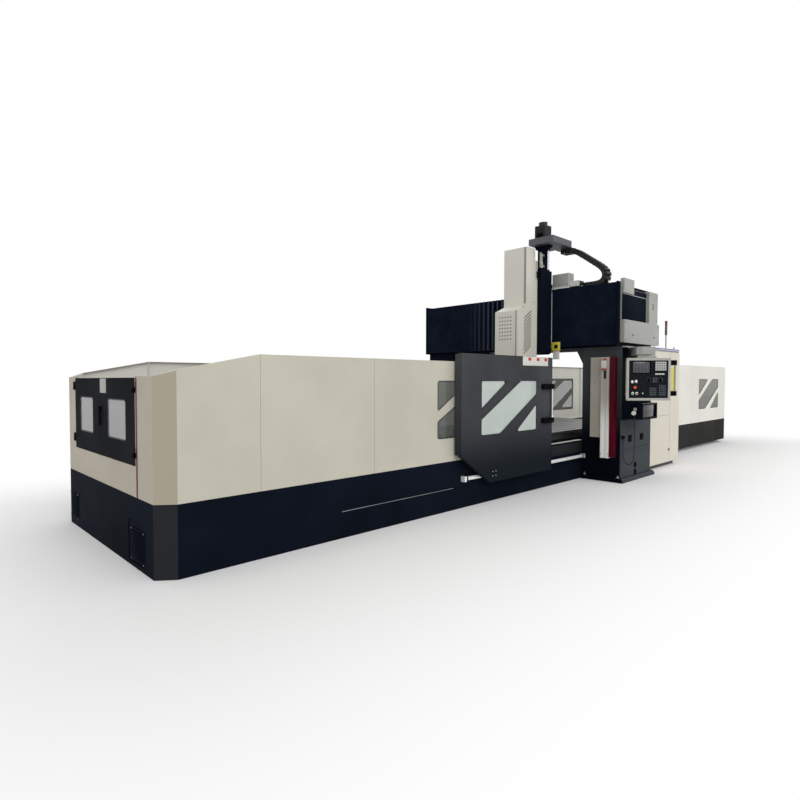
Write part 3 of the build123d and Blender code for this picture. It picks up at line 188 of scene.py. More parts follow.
def column_enamel():
    """Two-pack enamel on the near column: blue-black, with the grey of the lower side cover from 1 m down.

    The cover's joint at 0.47 m is a dark line 4 mm wide. The front pales between 0.6 and 1.7 m up, which
    imitates the photo's light.
    """
    material, tree, place = start("casting_enamel_column")
    clouds = add(tree, "TexNoise", {"Vector": place, "Scale": 1000 / 900, "Detail": 3.0})
    axes = add(tree, "SeparateXYZ", {"Vector": place}).outputs
    facing = add(tree, "NewGeometry").outputs["Normal"]
    facing = add(tree, "SeparateXYZ", {"Vector": facing}).outputs
    outward = add(tree, "Math", {0: facing["Y"], 1: -0.3}, operation="LESS_THAN")
    front = add(tree, "Math", {0: facing["X"], 1: -0.3}, operation="LESS_THAN")
    rise = {"Value": axes["Z"], "From Min": 0.6, "From Max": 1.7}
    rise = add(tree, "MapRange", rise, interpolation_type="SMOOTHSTEP")
    rise = add(tree, "Math", {0: rise, 1: front}, operation="MULTIPLY")
    navy = {"Factor": clouds, "A": linear("#080C14"), "B": linear("#0E131D")}
    navy = add(tree, "Mix", navy, data_type="RGBA")
    navy = {"Factor": rise, "A": navy, "B": linear("#45484A")}
    navy = add(tree, "Mix", navy, data_type="RGBA")
    grey = {"Factor": clouds, "A": linear("#3F4347"), "B": linear("#4D5155")}
    grey = add(tree, "Mix", grey, data_type="RGBA")
    low = add(tree, "Math", {0: axes["Z"], 1: 0.985}, operation="LESS_THAN")
    cover = add(tree, "Math", {0: low, 1: outward}, operation="MULTIPLY")
    colour = {"Factor": cover, "A": navy, "B": grey}
    colour = add(tree, "Mix", colour, data_type="RGBA")
    joint = {0: axes["Z"], 1: 0.47, 2: 0.002}
    joint = add(tree, "Math", joint, operation="COMPARE")
    joint = add(tree, "Math", {0: joint, 1: outward}, operation="MULTIPLY")
    colour = {"Factor": joint, "A": colour, "B": linear("#22252A")}
    colour = add(tree, "Mix", colour, data_type="RGBA")
    gloss = {"Value": clouds, "To Min": 0.36, "To Max": 0.52}
    surface = add(tree, "BsdfPrincipled", {
        "Base Color": colour, "Roughness": add(tree, "MapRange", gloss), "IOR": 1.5,
        "Specular IOR Level": DULL,
    })
    add(tree, "OutputMaterial", {"Surface": surface})
    return material


def cabinet_coat():
    """Powder coat on the cabinet, ivory down to its recessed black plinth."""
    material, tree, place = start("powder_coated_cabinet_ivory")
    clouds = add(tree, "TexNoise", {"Vector": place, "Scale": 1000 / 700, "Detail": 3.0})
    ivory = {"Factor": clouds, "A": linear("#D0CABB"), "B": linear("#DCD6C8")}
    ivory = add(tree, "Mix", ivory, data_type="RGBA")
    height = add(tree, "SeparateXYZ", {"Vector": place}).outputs["Z"]
    plinth = add(tree, "Math", {0: height, 1: 0.0745}, operation="LESS_THAN")
    colour = {"Factor": plinth, "A": ivory, "B": linear("#17181A")}
    colour = add(tree, "Mix", colour, data_type="RGBA")
    peel = add(tree, "TexNoise", {"Vector": place, "Scale": 1000 / 8, "Detail": 1.0})
    gloss = {"Value": clouds, "To Min": 0.38, "To Max": 0.5}
    surface = add(tree, "BsdfPrincipled", {
        "Base Color": colour, "Roughness": add(tree, "MapRange", gloss), "IOR": 1.5,
        "Normal": add(tree, "Bump", {"Height": peel, "Distance": 0.0002, "Strength": 0.3}),
    })
    add(tree, "OutputMaterial", {"Surface": surface})
    return material


def brushed(name, shade, darker, roughness, stretch, grain_mm=6):
    """Steel with grinding or rolling lines along one direction, and soft patches 0.4 m across."""
    material, tree, place = start(name)
    along = add(tree, "Mapping", {"Vector": place, "Scale": stretch})
    lines = add(tree, "TexNoise", {"Vector": along, "Scale": 1000 / grain_mm, "Detail": 3.0})
    patches = add(tree, "TexNoise", {"Vector": place, "Scale": 1000 / 420})
    both = add(tree, "Math", {0: lines, 1: patches}, operation="MULTIPLY")
    share = add(tree, "MapRange", {"Value": both, "From Min": 0.12, "From Max": 0.4})
    colour = {"Factor": share, "A": linear(darker), "B": linear(shade)}
    gloss = {"Value": lines, "To Min": roughness - 0.08, "To Max": roughness + 0.12}
    surface = add(tree, "BsdfPrincipled", {
        "Base Color": add(tree, "Mix", colour, data_type="RGBA"),
        "Roughness": add(tree, "MapRange", gloss), "Metallic": 1.0,
        "Normal": add(tree, "Bump", {"Height": lines, "Distance": 0.0002, "Strength": 0.3}),
    })
    add(tree, "OutputMaterial", {"Surface": surface})
    return material


def moulded(name, shade, roughness, grain_mm=4, metallic=0.0, shine=0.35):
    """Moulded plastic or rubber with a fine spark-eroded grain, drawn coarse enough to show."""
    material, tree, place = start(name)
    cells = add(tree, "TexVoronoi", {"Vector": place, "Scale": 1000 / grain_mm})
    hands = add(tree, "TexNoise", {"Vector": place, "Scale": 1000 / 60, "Detail": 3.0})
    base = linear(shade)
    paler = [min(1, c * 1.2 + 0.003) for c in base[:3]] + [1.0]
    share = add(tree, "MapRange", {"Value": hands, "From Min": 0.3, "From Max": 0.75})
    gloss = {"Value": cells, "To Min": roughness - 0.05, "To Max": roughness + 0.08}
    colour = {"Factor": share, "A": base, "B": paler}
    surface = add(tree, "BsdfPrincipled", {
        "Base Color": add(tree, "Mix", colour, data_type="RGBA"),
        "Roughness": add(tree, "MapRange", gloss), "Metallic": metallic,
        "Specular IOR Level": shine,
        "Normal": add(tree, "Bump", {"Height": cells, "Distance": 0.00015, "Strength": 0.35}),
    })
    add(tree, "OutputMaterial", {"Surface": surface})
    return material


def folded_cloth(name, crest_highlights):
    """Polyurethane-coated polyester of the covers: blue-black, a slight sheen, a weave drawn 16 mm coarse.

    The valleys of the folds, 28 mm and more behind the crests, are nearly black: painted shadow. With crest
    highlights, the crests are pale lines, painted highlights, that fade out between 0.1 and 0.95 m along Y.
    """
    material, tree, place = start(name)
    weave = {"Vector": place, "Scale": WAVE / 16, "Distortion": 0.6}
    weave = add(tree, "TexWave", weave, bands_direction="Z").outputs["Fac"]
    worn = add(tree, "TexNoise", {"Vector": place, "Scale": 1000 / 180, "Detail": 4.0})
    share = add(tree, "MapRange", {"Value": worn, "From Min": 0.3, "From Max": 0.8})
    colour = {"Factor": share, "A": linear("#0D1320"), "B": linear("#171E2D")}
    colour = add(tree, "Mix", colour, data_type="RGBA")
    axes = add(tree, "SeparateXYZ", {"Vector": place}).outputs
    # Faces deeper than the crests darken to near black: painted shadow.
    inward = {"Value": axes["X"], "From Min": -0.624, "From Max": -0.600}
    inward = add(tree, "MapRange", inward, interpolation_type="SMOOTHSTEP")
    colour = {"Factor": inward, "A": colour, "B": linear("#020308")}
    # Pale crests are painted highlights.
    if crest_highlights:
        colour = add(tree, "Mix", colour, data_type="RGBA")
        crest = add(tree, "Math", {0: axes["X"], 1: -0.6265}, operation="LESS_THAN")
        near = {"Value": axes["Y"], "From Min": 0.1, "From Max": 0.95, "To Min": 1.0, "To Max": 0.0}
        near = add(tree, "MapRange", near, interpolation_type="SMOOTHSTEP")
        crest = add(tree, "Math", {0: crest, 1: near}, operation="MULTIPLY")
        colour = {"Factor": crest, "A": colour, "B": linear("#4A5160")}
    gloss = {"Value": worn, "To Min": 0.36, "To Max": 0.52}
    surface = add(tree, "BsdfPrincipled", {
        "Base Color": add(tree, "Mix", colour, data_type="RGBA"),
        "Roughness": add(tree, "MapRange", gloss), "Sheen Weight": 0.02,
        "Specular IOR Level": DULL,
        "Normal": add(tree, "Bump", {"Height": weave, "Distance": 0.0002, "Strength": 0.25}),
    })
    add(tree, "OutputMaterial", {"Surface": surface})
    return material


def safety_glass(name, tint, paler, alpha):
    """Laminated safety glass: clean, in the tint it is given, with a slight haze in patches."""
    material, tree, place = start(name)
    haze = add(tree, "TexNoise", {"Vector": place, "Scale": 1000 / 300})
    colour = {"Factor": haze, "A": linear(tint), "B": linear(paler)}
    surface = add(tree, "BsdfPrincipled", {
        "Base Color": add(tree, "Mix", colour, data_type="RGBA"),
        "Roughness": add(tree, "MapRange", {"Value": haze, "To Min": 0.03, "To Max": 0.1}),
        "Alpha": alpha, "IOR": 1.52,
    })
    add(tree, "OutputMaterial", {"Surface": surface})
    return material


def lamp_tower():
    """The signal tower: an aluminium tube, three polycarbonate lamps told apart by height, and a cap."""
    material, tree, place = start("polycarbonate_signal_lamps")
    height = add(tree, "SeparateXYZ", {"Vector": place}).outputs["Z"]
    colour = linear("#8C8D8E")
    for level, shade in ((2.5, "#3E5A4A"), (2.585, "#7A5B38"), (2.671, "#6B2A28"), (2.756, "#26272A")):
        above = add(tree, "Math", {0: height, 1: level}, operation="GREATER_THAN")
        colour = {"Factor": above, "A": colour, "B": linear(shade)}
        colour = add(tree, "Mix", colour, data_type="RGBA")
    rings = {"Vector": place, "Scale": WAVE / 12}
    rings = add(tree, "TexWave", rings, bands_direction="Z").outputs["Fac"]
    surface = add(tree, "BsdfPrincipled", {
        "Base Color": colour, "Roughness": 0.25,
        "Normal": add(tree, "Bump", {"Height": rings, "Distance": 0.001, "Strength": 0.5}),
    })
    add(tree, "OutputMaterial", {"Surface": surface})
    return material


def cast_table():
    """Ground cast iron: grey, with grinding lines along the table and a film of oil in patches."""
    material, tree, place = start("ground_cast_iron")
    along = add(tree, "Mapping", {"Vector": place, "Scale": (0.04, 1, 1)})
    lines = add(tree, "TexNoise", {"Vector": along, "Scale": 1000 / 14, "Detail": 4.0})
    oil = add(tree, "TexNoise", {"Vector": place, "Scale": 1000 / 260, "Detail": 4.0})
    share = add(tree, "MapRange", {"Value": lines, "From Min": 0.3, "From Max": 0.75})
    iron = {"Factor": share, "A": linear("#66686A"), "B": linear("#A3A5A6")}
    iron = add(tree, "Mix", iron, data_type="RGBA")
    film = add(tree, "MapRange", {"Value": oil, "From Min": 0.45, "To Max": 0.6})
    colour = {"Factor": film, "A": iron, "B": linear("#4C4A45")}
    surface = add(tree, "BsdfPrincipled", {
        "Base Color": add(tree, "Mix", colour, data_type="RGBA"),
        "Roughness": add(tree, "MapRange", {"Value": oil, "To Min": 0.5, "To Max": 0.2}),
        "Metallic": 0.75,
        "Normal": add(tree, "Bump", {"Height": lines, "Distance": 0.0003, "Strength": 0.3}),
    })
    add(tree, "OutputMaterial", {"Surface": surface})
    return material


def display():
    """The pendant's switched-off LCD: grey-lilac glass with faint columns 50 mm apart."""
    material, tree, place = start("lcd_panel")
    own = {"Vector": place, "Location": PENDANT_CENTRE, "Rotation": (0, 0, PENDANT_TURN)}
    own = add(tree, "Mapping", own, vector_type="TEXTURE")
    columns = add(tree, "TexWave", {"Vector": own, "Scale": WAVE / 50}).outputs["Fac"]
    colour = {"Factor": columns, "A": linear("#2B2D35"), "B": linear("#3B3C45")}
    surface = add(tree, "BsdfPrincipled", {
        "Base Color": add(tree, "Mix", colour, data_type="RGBA"),
        "Roughness": 0.14, "Coat Weight": 0.5,
    })
    add(tree, "OutputMaterial", {"Surface": surface})
    return material


def make_materials():
    """Every finish on the machine, by a short name."""
    return {
        # powder coat on sheet steel: even, slightly eggshell
        # The cream's slant tone is painted shade on its chamfered walls.
        "cream": painted("powder_coated_sheet_cream", "#C5C1B2", "#BCB8A9", 0.42, slant_light_tone="#A49B88"),
        # A darker copy of the cream for the left end panel: painted shade on a face turned from the light.
        "shaded_cream": painted("powder_coated_sheet_cream_shaded", "#B4AB9C", "#AAA192", 0.45, 0.3),
        "jamb": painted("powder_coated_sheet_stone", "#A9A398", "#9F998E", 0.45, 0.3),
        "warm": painted("powder_coated_sheet_pearl", "#DAD7CC", "#D0CDC2", 0.36),
        # A darker grey for the head cover's grooves: painted shade.
        "groove_shade": painted("powder_coated_sheet_shaded", "#9C998E", "#939085", 0.45, 0.2),
        "pearl": painted("powder_coated_sheet_white", "#E4E2D9", "#DCDAD0", 0.4),
        "cabinet": cabinet_coat(),
        # two-pack enamel over filled castings: smooth and deep
        # Navy's last colour is painted light: a paler tone on walls at a slant.
        "navy": painted("casting_enamel_blue_black", "#131924", "#0D121B", 0.42, DULL, "#2A2B2E"),
        "column": column_enamel(),
        # The bed's last colour is painted light on its slanted walls.
        "bed": painted("casting_enamel_grey", "#4A4E54", "#3E4248", 0.45, 0.2, "#5A564E"),
        # structured powder coat on the doors
        # The door charcoal darkens towards the floor: painted shade.
        "charcoal": painted(
            "powder_coated_door_charcoal", "#4A4B4E", "#414246", 0.45, DULL, foot=("#1D2228", 0.4, 1.25)
        ),
        "leaf": painted("powder_coated_leaf_charcoal", "#2C2D30", "#252629", 0.55, 0.0),
        # Slate's last colour is painted light on its slanted walls.
        "slate": painted("powder_coated_skirt_slate", "#3A3A39", "#333332", 0.55, 0.0, "#4A4946"),
        "grey": painted("powder_coated_tray_grey", "#5C5D61", "#545559", 0.45, 0.3),
        "motor": painted("powder_coated_motor_grey", "#2C2D31", "#242529", 0.4, 0.3),
        "silver": painted("powder_coated_cover_silver", "#A3A49F", "#999A95", 0.4, 0.4),
        "bright": painted("powder_coated_drive_silver", "#D6D7D3", "#C6C7C3", 0.35),
        "crimson": painted("enamel_crimson", "#5E081E", "#4D0618", 0.35, 0.12),
        # The strip pales towards its foot: painted light.
        "strip": painted(
            "powder_coated_strip_white", "#B3AFA5", "#A8A49A", 0.32, foot=("#E9E9E4", 0.8, 1.45)
        ),
        "white": painted("enamel_white", "#DDDCD6", "#D2D1CA", 0.32),
        "violet": painted("enamel_violet_blue", "#55539A", "#4A488C", 0.35),
        "yellow": painted("enamel_yellow", "#DFD04A", "#D2C33C", 0.4),
        # machined steel
        "rail": brushed("ground_bearing_steel", "#C2C4C7", "#8E9093", 0.24, (0.05, 1, 1)),
        "sheet": brushed("cold_rolled_sheet_steel", "#B9BBBD", "#8A8C8E", 0.34, (1, 0.06, 1), 10),
        # The bar's near-white colour is a painted reflection of the white surroundings on ground steel.
        "bar": moulded("ground_bar_steel_pale_reflection", "#EEEEEB", 0.3, metallic=0.25, shine=0.5),
        "chrome": brushed("hard_chrome_plate", "#E6E7E9", "#CFD1D4", 0.14, (0.05, 1, 1), 12),
        "bolt": brushed("zinc_plated_fastener", "#A9ABAD", "#77797C", 0.38, (1, 1, 1), 5),
        "alu": brushed("bead_blasted_aluminium", "#C9C8C2", "#B0AFA9", 0.42, (1, 1, 1), 8),
        "table": cast_table(),
        # plastics and rubbers
        "frame": moulded("powder_coated_pendant_grey", "#A5A49C", 0.45),
        "black": moulded("abs_black", "#0B0C0F", 0.42, shine=DULL),
        "panel": moulded("polyester_overlay_charcoal", "#1A1D21", 0.4, 8, shine=DULL),
        "key": moulded("pbt_keycap_grey", "#C4C4C0", 0.5),
        "darkkey": moulded("pbt_keycap_slate", "#3A3F49", 0.45),
        "red": moulded("abs_signal_red", "#B8231B", 0.3),
        "orange": moulded("abs_stop_orange", "#D9541E", 0.32),
        "green": moulded("abs_signal_green", "#2E8A57", 0.3),
        "ivory": moulded("abs_ivory", "#DEDCD2", 0.4),
        "nylon": moulded("glass_filled_nylon_black", "#151618", 0.5),
        "rubber": moulded("epdm_rubber_black", "#0C0C0D", 0.6, 6),
        "cord": moulded("pvc_cord_sheath_black", "#0D0D0E", 0.4, 8),
        "lock": moulded("zinc_lock_dark", "#2E2F31", 0.35, 5, 0.6),
        "cloth": folded_cloth("pu_coated_polyester", False),
        # The pleated cloth carries painted highlights on its crests.
        "pleats": folded_cloth("pu_coated_polyester_pleated", True),
        "glass": safety_glass("tinted_safety_glass", "#4B504C", "#5E645F", 0.5),
        "doorglass": safety_glass("laminated_safety_glass", "#C3CDC7", "#DCE5DF", 0.72),
        "endglass": safety_glass("laminated_end_glass", "#97999A", "#A9ACAB", 0.7),
        "darkglass": safety_glass("smoked_cover_glass", "#0B0B12", "#14141C", 0.96),
        "lcd": display(),
        "lamps": lamp_tower(),
    }


MATERIALS = {}

NODE_FINISHES = {
    "bed": "bed", "linear_rails": "rail", "left_skirt": "navy", "right_skirt": "slate",
    "near_left_guard": "cream", "far_left_guard": "pearl", "near_right_guard": "pearl",
    "far_right_guard": "pearl", "left_end_panel": "shaded_cream", "right_end_panel": "pearl",
    "guard_glass": "glass", "end_hinges": "black", "fixed_way_covers": "sheet", "door_rail": "bar",
    "near_column": "column", "far_column": "navy", "column_glands": "black", "jamb_cover": "jamb",
    "jamb_strip": "strip", "red_trim": "crimson", "crossbeam": "navy", "beam_end_cover": "silver",
    "cabinet": "cabinet", "signal_tower": "lamps", "operator_box": "navy", "handwheel_unit": "black",
    "table": "table", "table_way_covers": "sheet", "left_middle_cover": "sheet",
    "right_middle_cover": "sheet", "carriage_saddle": "bright", "z_column": "navy", "motor_tray": "grey",
    "z_motor": "motor", "head_cover": "warm", "spindle_ram": "navy", "spindle": "rail",
    "sliding_door": "charcoal", "sliding_door_glass": "doorglass", "door_pull": "black",
    "near_end_door": "leaf", "near_end_glass": "endglass", "far_end_door": "leaf",
    "far_end_glass": "endglass", "end_door_handle": "black", "cabinet_lower_door": "cabinet",
    "cabinet_upper_door": "cabinet", "pendant_arm": "silver", "pendant_case": "frame",
    "pendant_face": "panel", "stop_button": "orange", "start_key": "green", "hold_key": "red",
    "feed_dial": "black", "speed_dial": "black", "handwheel_dial": "ivory",
}

# The record's slot for each finish of the added pieces
SLOTS = {
    "alu": "aluminium", "black": "black_plastic", "bolt": "ground_steel", "cabinet": "cream_paint",
    "chrome": "chrome", "cloth": "bellows_fabric", "darkglass": "glass", "darkkey": "black_plastic",
    "frame": "aluminium", "groove_shade": "cream_paint", "ivory": "pale_plastic", "key": "pale_plastic",
    "lcd": "glass", "leaf": "mid_grey_paint", "lock": "black_plastic", "navy": "navy_paint",
    "nylon": "black_plastic", "pleats": "bellows_fabric", "red": "red_plastic", "rubber": "cord_rubber",
    "silver": "aluminium", "slate": "mid_grey_paint", "violet": "mid_grey_paint", "white": "white_paint",
    "yellow": "pale_plastic",
}


# Mesh helpers


def edges_at(verts):
    """The edges at the given vertices, each once."""
    return list(dict.fromkeys(edge for vertex in verts for edge in vertex.link_edges))


def connected(seeds):
    """Every vertex joined to the given ones by edges."""
    found = dict.fromkeys(seeds)
    queue = list(seeds)
    while queue:
        for edge in queue.pop().link_edges:
            for other in edge.verts:
                if other not in found:
                    found[other] = None
                    queue.append(other)
    return list(found)


def cuboid(bm, low, high, edge=0.0, segments=2, matrix=None):
    """Adds a box between two corners, its edges rounded, and turned by a matrix if one is given."""
    low, high = Vector(low), Vector(high)
    made = bmesh.ops.create_cube(bm, size=1.0)["verts"]
    bmesh.ops.scale(bm, vec=high - low, verts=made)
    bmesh.ops.translate(bm, vec=(low + high) / 2, verts=made)
    if edge:
        made = bmesh.ops.bevel(
            bm, geom=edges_at(made), offset=edge, segments=segments, profile=0.5, affect="EDGES", material=-1
        )["verts"]
    if matrix is not None:
        bmesh.ops.transform(bm, matrix=matrix, verts=connected(made))


def stand(bm, verts, centre, normal):
    """Turns what was made along Z to a direction and moves it to its place."""
    turn = Vector((0, 0, 1)).rotation_difference(Vector(normal)).to_matrix().to_4x4()
    bmesh.ops.transform(bm, matrix=Matrix.Translation(centre) @ turn, verts=verts)


def disc(bm, centre, normal, radius, depth, segments=20, edge=0.0, tip=None):
    """Adds a round boss that stands on centre along normal, with its outer rim rounded."""
    upper = radius if tip is None else tip
    made = bmesh.ops.create_cone(
        bm, cap_ends=True, segments=segments, radius1=radius, radius2=upper, depth=depth
    )["verts"]
    bmesh.ops.translate(bm, vec=(0, 0, depth / 2), verts=made)
    if edge:
        rim = [e for e in edges_at(made) if all(v.co.z > depth * 0.9 for v in e.verts)]
        bmesh.ops.bevel(bm, geom=rim, offset=edge, segments=2, profile=0.5, affect="EDGES", material=-1)
        made = connected([v for v in made if v.is_valid])
    stand(bm, made, centre, normal)


def screw(bm, centre, normal, radius=0.007):
    """Adds a socket-head screw: a low head with a hexagon sunk in it."""
    made = bmesh.ops.create_cone(
        bm, cap_ends=True, segments=12, radius1=radius, radius2=radius, depth=radius * 0.7
    )["verts"]
    bmesh.ops.translate(bm, vec=(0, 0, radius * 0.35), verts=made)
    top = max((f for v in made for f in v.link_faces), key=lambda f: f.calc_center_median().z)
    bmesh.ops.inset_region(bm, faces=[top], thickness=radius * 0.4, depth=0.0)
    bmesh.ops.translate(bm, vec=(0, 0, -radius * 0.4), verts=list(top.verts))
    made = connected(list(top.verts))
    stand(bm, made, centre, normal)


def piece(bm, name, body, finish, record_slot=None, smooth=True):
    """Turns a bmesh into a named piece that rides on a body, in its finish; the record slot is not used."""
    record_slot = record_slot or SLOTS[finish]
    bmesh.ops.recalc_face_normals(bm, faces=bm.faces)
    mesh = bpy.data.meshes.new(name)
    bm.to_mesh(mesh)
    bm.free()
    if smooth:
        for polygon in mesh.polygons:
            polygon.use_smooth = True
        mesh.set_sharp_from_angle(angle=math.radians(35))
    mesh.materials.append(MATERIALS[finish])
    made = bpy.data.objects.new(name, mesh)
    bpy.context.scene.collection.objects.link(made)
    if body:
        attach(made, body)
    return made


def box_piece(name, body, finish, boxes, edge, matrix=None, record_slot=None):
    """A piece made of rounded boxes, each given by its low and high corner."""
    bm = bmesh.new()
    for low, high in boxes:
        cuboid(bm, low, high, edge, matrix=matrix)
    piece(bm, name, body, finish, record_slot)


def screw_piece(name, body, places, normal, radius, matrix=None):
    """A piece made of like screws at many places."""
    bm = bmesh.new()
    for place in places:
        screw(bm, place, normal, radius)
    if matrix is not None:
        bmesh.ops.transform(bm, matrix=matrix, verts=bm.verts)
    piece(bm, name, body, "bolt")


def guided_curve(name, places, resolution):
    """A smooth curve guided by listed places."""
    curve = bpy.data.curves.new(name, "CURVE")
    curve.dimensions = "3D"
    spline = curve.splines.new("NURBS")
    spline.points.add(len(places) - 1)
    for point, place in zip(spline.points, places):
        point.co = (*place, 1.0)
    spline.order_u = 3
    spline.use_endpoint_u = True
    curve.resolution_u = resolution
    return curve


def window_shapes(x, z):
    """The corners of a window's three openings, parted by two slanting bars."""
    shares = (
        ((0, 0.47), (0.46, 1), (0, 1)),
        ((0, 0), (0.32, 0), (1, 0.72), (1, 1), (0.69, 1), (0, 0.30)),
        ((0.585, 0), (1, 0), (1, 0.54)),
    )
    width, height = x[1] - x[0], z[1] - z[0]
    return [[(x[0] + width * u, z[0] + height * v) for u, v in shape] for shape in shares]


def gasket(bm, corners, y, proud, radius=0.035, width=0.009):
    """Adds a rubber seal round an opening in an X-Z plane, standing proud of the sheet towards -Y or +Y."""
    others = set(bm.faces)
    made = [bm.verts.new((x, y, z)) for x, z in corners]
    bm.faces.new(made)
    bmesh.ops.bevel(bm, geom=made, offset=radius, segments=5, profile=0.5, affect="VERTICES", material=-1)
    opening = [face for face in bm.faces if face not in others]
    ring = bmesh.ops.inset_region(
        bm, faces=opening, thickness=width, use_boundary=True, use_even_offset=True
    )["faces"]
    bmesh.ops.delete(bm, geom=opening, context="FACES_ONLY")
    raised = bmesh.ops.extrude_face_region(bm, geom=ring)["geom"]
    bmesh.ops.translate(bm, vec=(0, proud, 0), verts=[g for g in raised if isinstance(g, bmesh.types.BMVert)])


# Settings that a user would change


class MillFinishSettings(bpy.types.PropertyGroup):
    fold_pitch: bpy.props.FloatProperty(
        name="Fold pitch", description="Distance between the folds of the crossbeam's covers",
        default=0.1, min=0.02, unit="LENGTH",
    )
    link_pitch: bpy.props.FloatProperty(
        name="Link pitch", description="Distance between the pins of the cable chain",
        default=0.065, min=0.03, unit="LENGTH",
    )
    screw_radius: bpy.props.FloatProperty(
        name="Screw head radius", description="Radius of the sheet-metal covers' screw heads",
        default=0.009, min=0.002, unit="LENGTH",
    )


class MillStudioSettings(bpy.types.PropertyGroup):
    background: bpy.props.FloatVectorProperty(
        name="Background", description="Colour of the floor and backdrop",
        subtype="COLOR", size=4, min=0.0, max=1.0, default=(1.0, 1.0, 1.0, 1.0),
    )
    sky_strength: bpy.props.FloatProperty(
        name="Sky strength", description="Strength of the even light from all round", default=0.66, min=0.0
    )
    key_strength: bpy.props.FloatProperty(
        name="Key strength", description="Strength of the soft light from the operator's side",
        default=1.05, min=0.0,
    )


# Operators


class MILL_OT_finishes(bpy.types.Operator):
    """Makes every finish and gives each CAD node its own"""

    bl_idname = "mill.finishes"
    bl_label = "Finishes"

    def execute(self, context):
        MATERIALS.update(make_materials())
        for node, finish in NODE_FINISHES.items():
            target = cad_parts[node]
            if not target.material_slots:
                target.data.materials.append(None)
            for material_slot in target.material_slots:
                material_slot.material = MATERIALS[finish]
        return {"FINISHED"}


class MILL_OT_handwheel_cord(bpy.types.Operator):
    """Hangs the handwheel's cord in a slack loop between its unit and the column"""

    bl_idname = "mill.handwheel_cord"
    bl_label = "Handwheel cord"

    def execute(self, context):
        curve = guided_curve("handwheel_cord_sheath", CORD_ROUTE, 10)
        curve.bevel_depth = CORD_DIAMETER / 2
        curve.bevel_resolution = 3
        curve.materials.append(MATERIALS["cord"])
        cord = bpy.data.objects.new("handwheel_cord_sheath", curve)
        context.scene.collection.objects.link(cord)
        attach(cord, "frame")
        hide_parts("handwheel_cord")
        bm = bmesh.new()
        disc(bm, (-0.530, -2.210, 1.066), (0, 0, -1), 0.0115, 0.038, 20, 0.002, 0.0072)
        disc(bm, (-0.488, -2.026, 0.688), (0, 0, 1), 0.013, 0.011, 6)
        disc(bm, (-0.488, -2.026, 0.688), (0, 0, -1), 0.0115, 0.036, 20, 0.002, 0.0072)
        piece(bm, "cord_strain_reliefs", "frame", "rubber")
        return {"FINISHED"}


class MILL_OT_folded_covers(bpy.types.Operator):
    """Folds the covers on both sides of the saddle: the far one deeper towards it, the near one shallow"""

    bl_idname = "mill.folded_covers"
    bl_label = "Folded covers"

    def execute(self, context):
        pitch = context.scene.mill_finish.fold_pitch
        for node, finish, fixed, moving, top, depths in (
            ("far_bellows", "pleats", 1.949, SADDLE_HIGH.y + 0.001, 3.090, (0.002, 0.050)),
            ("near_bellows", "cloth", -1.949, SADDLE_EDGE - 0.001, 3.140, (0.0004, 0.0004)),
        ):
            rise = (top - COVER_LOW) / COVER_ROWS
            count = round(abs(fixed - moving) / pitch)
            step = (moving - fixed) / count
            route = []
            for number in range(count * 2 + 1):
                share = number / (count * 2)
                depth = depths[0] + (depths[1] - depths[0]) * share**3
                x = COVER_FRONT + (depth if number % 2 else 0.0)
                y = fixed + step * number / 2
                route += [(x, y - math.copysign(CREST / 2, step)), (x, y + math.copysign(CREST / 2, step))]
            bm = bmesh.new()
            before = None
            for x, y in route[1:-1]:
                vertex = bm.verts.new((x, y, COVER_LOW))
                if before:
                    bm.edges.new((before, vertex))
                before = vertex
            for level in range(COVER_ROWS):
                here = COVER_LOW + rise * level
                rims = [e for e in bm.edges if all(abs(v.co.z - here) < 1e-4 for v in e.verts)]
                grown = bmesh.ops.extrude_edge_only(bm, edges=rims)["geom"]
                grown = [g for g in grown if isinstance(g, bmesh.types.BMVert)]
                bmesh.ops.translate(bm, vec=(0, 0, rise), verts=grown)
            bmesh.ops.solidify(bm, geom=bm.faces, thickness=0.003)
            made = piece(bm, node + "_cloth", None, finish)
            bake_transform(made)
            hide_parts(node)
        return {"FINISHED"}


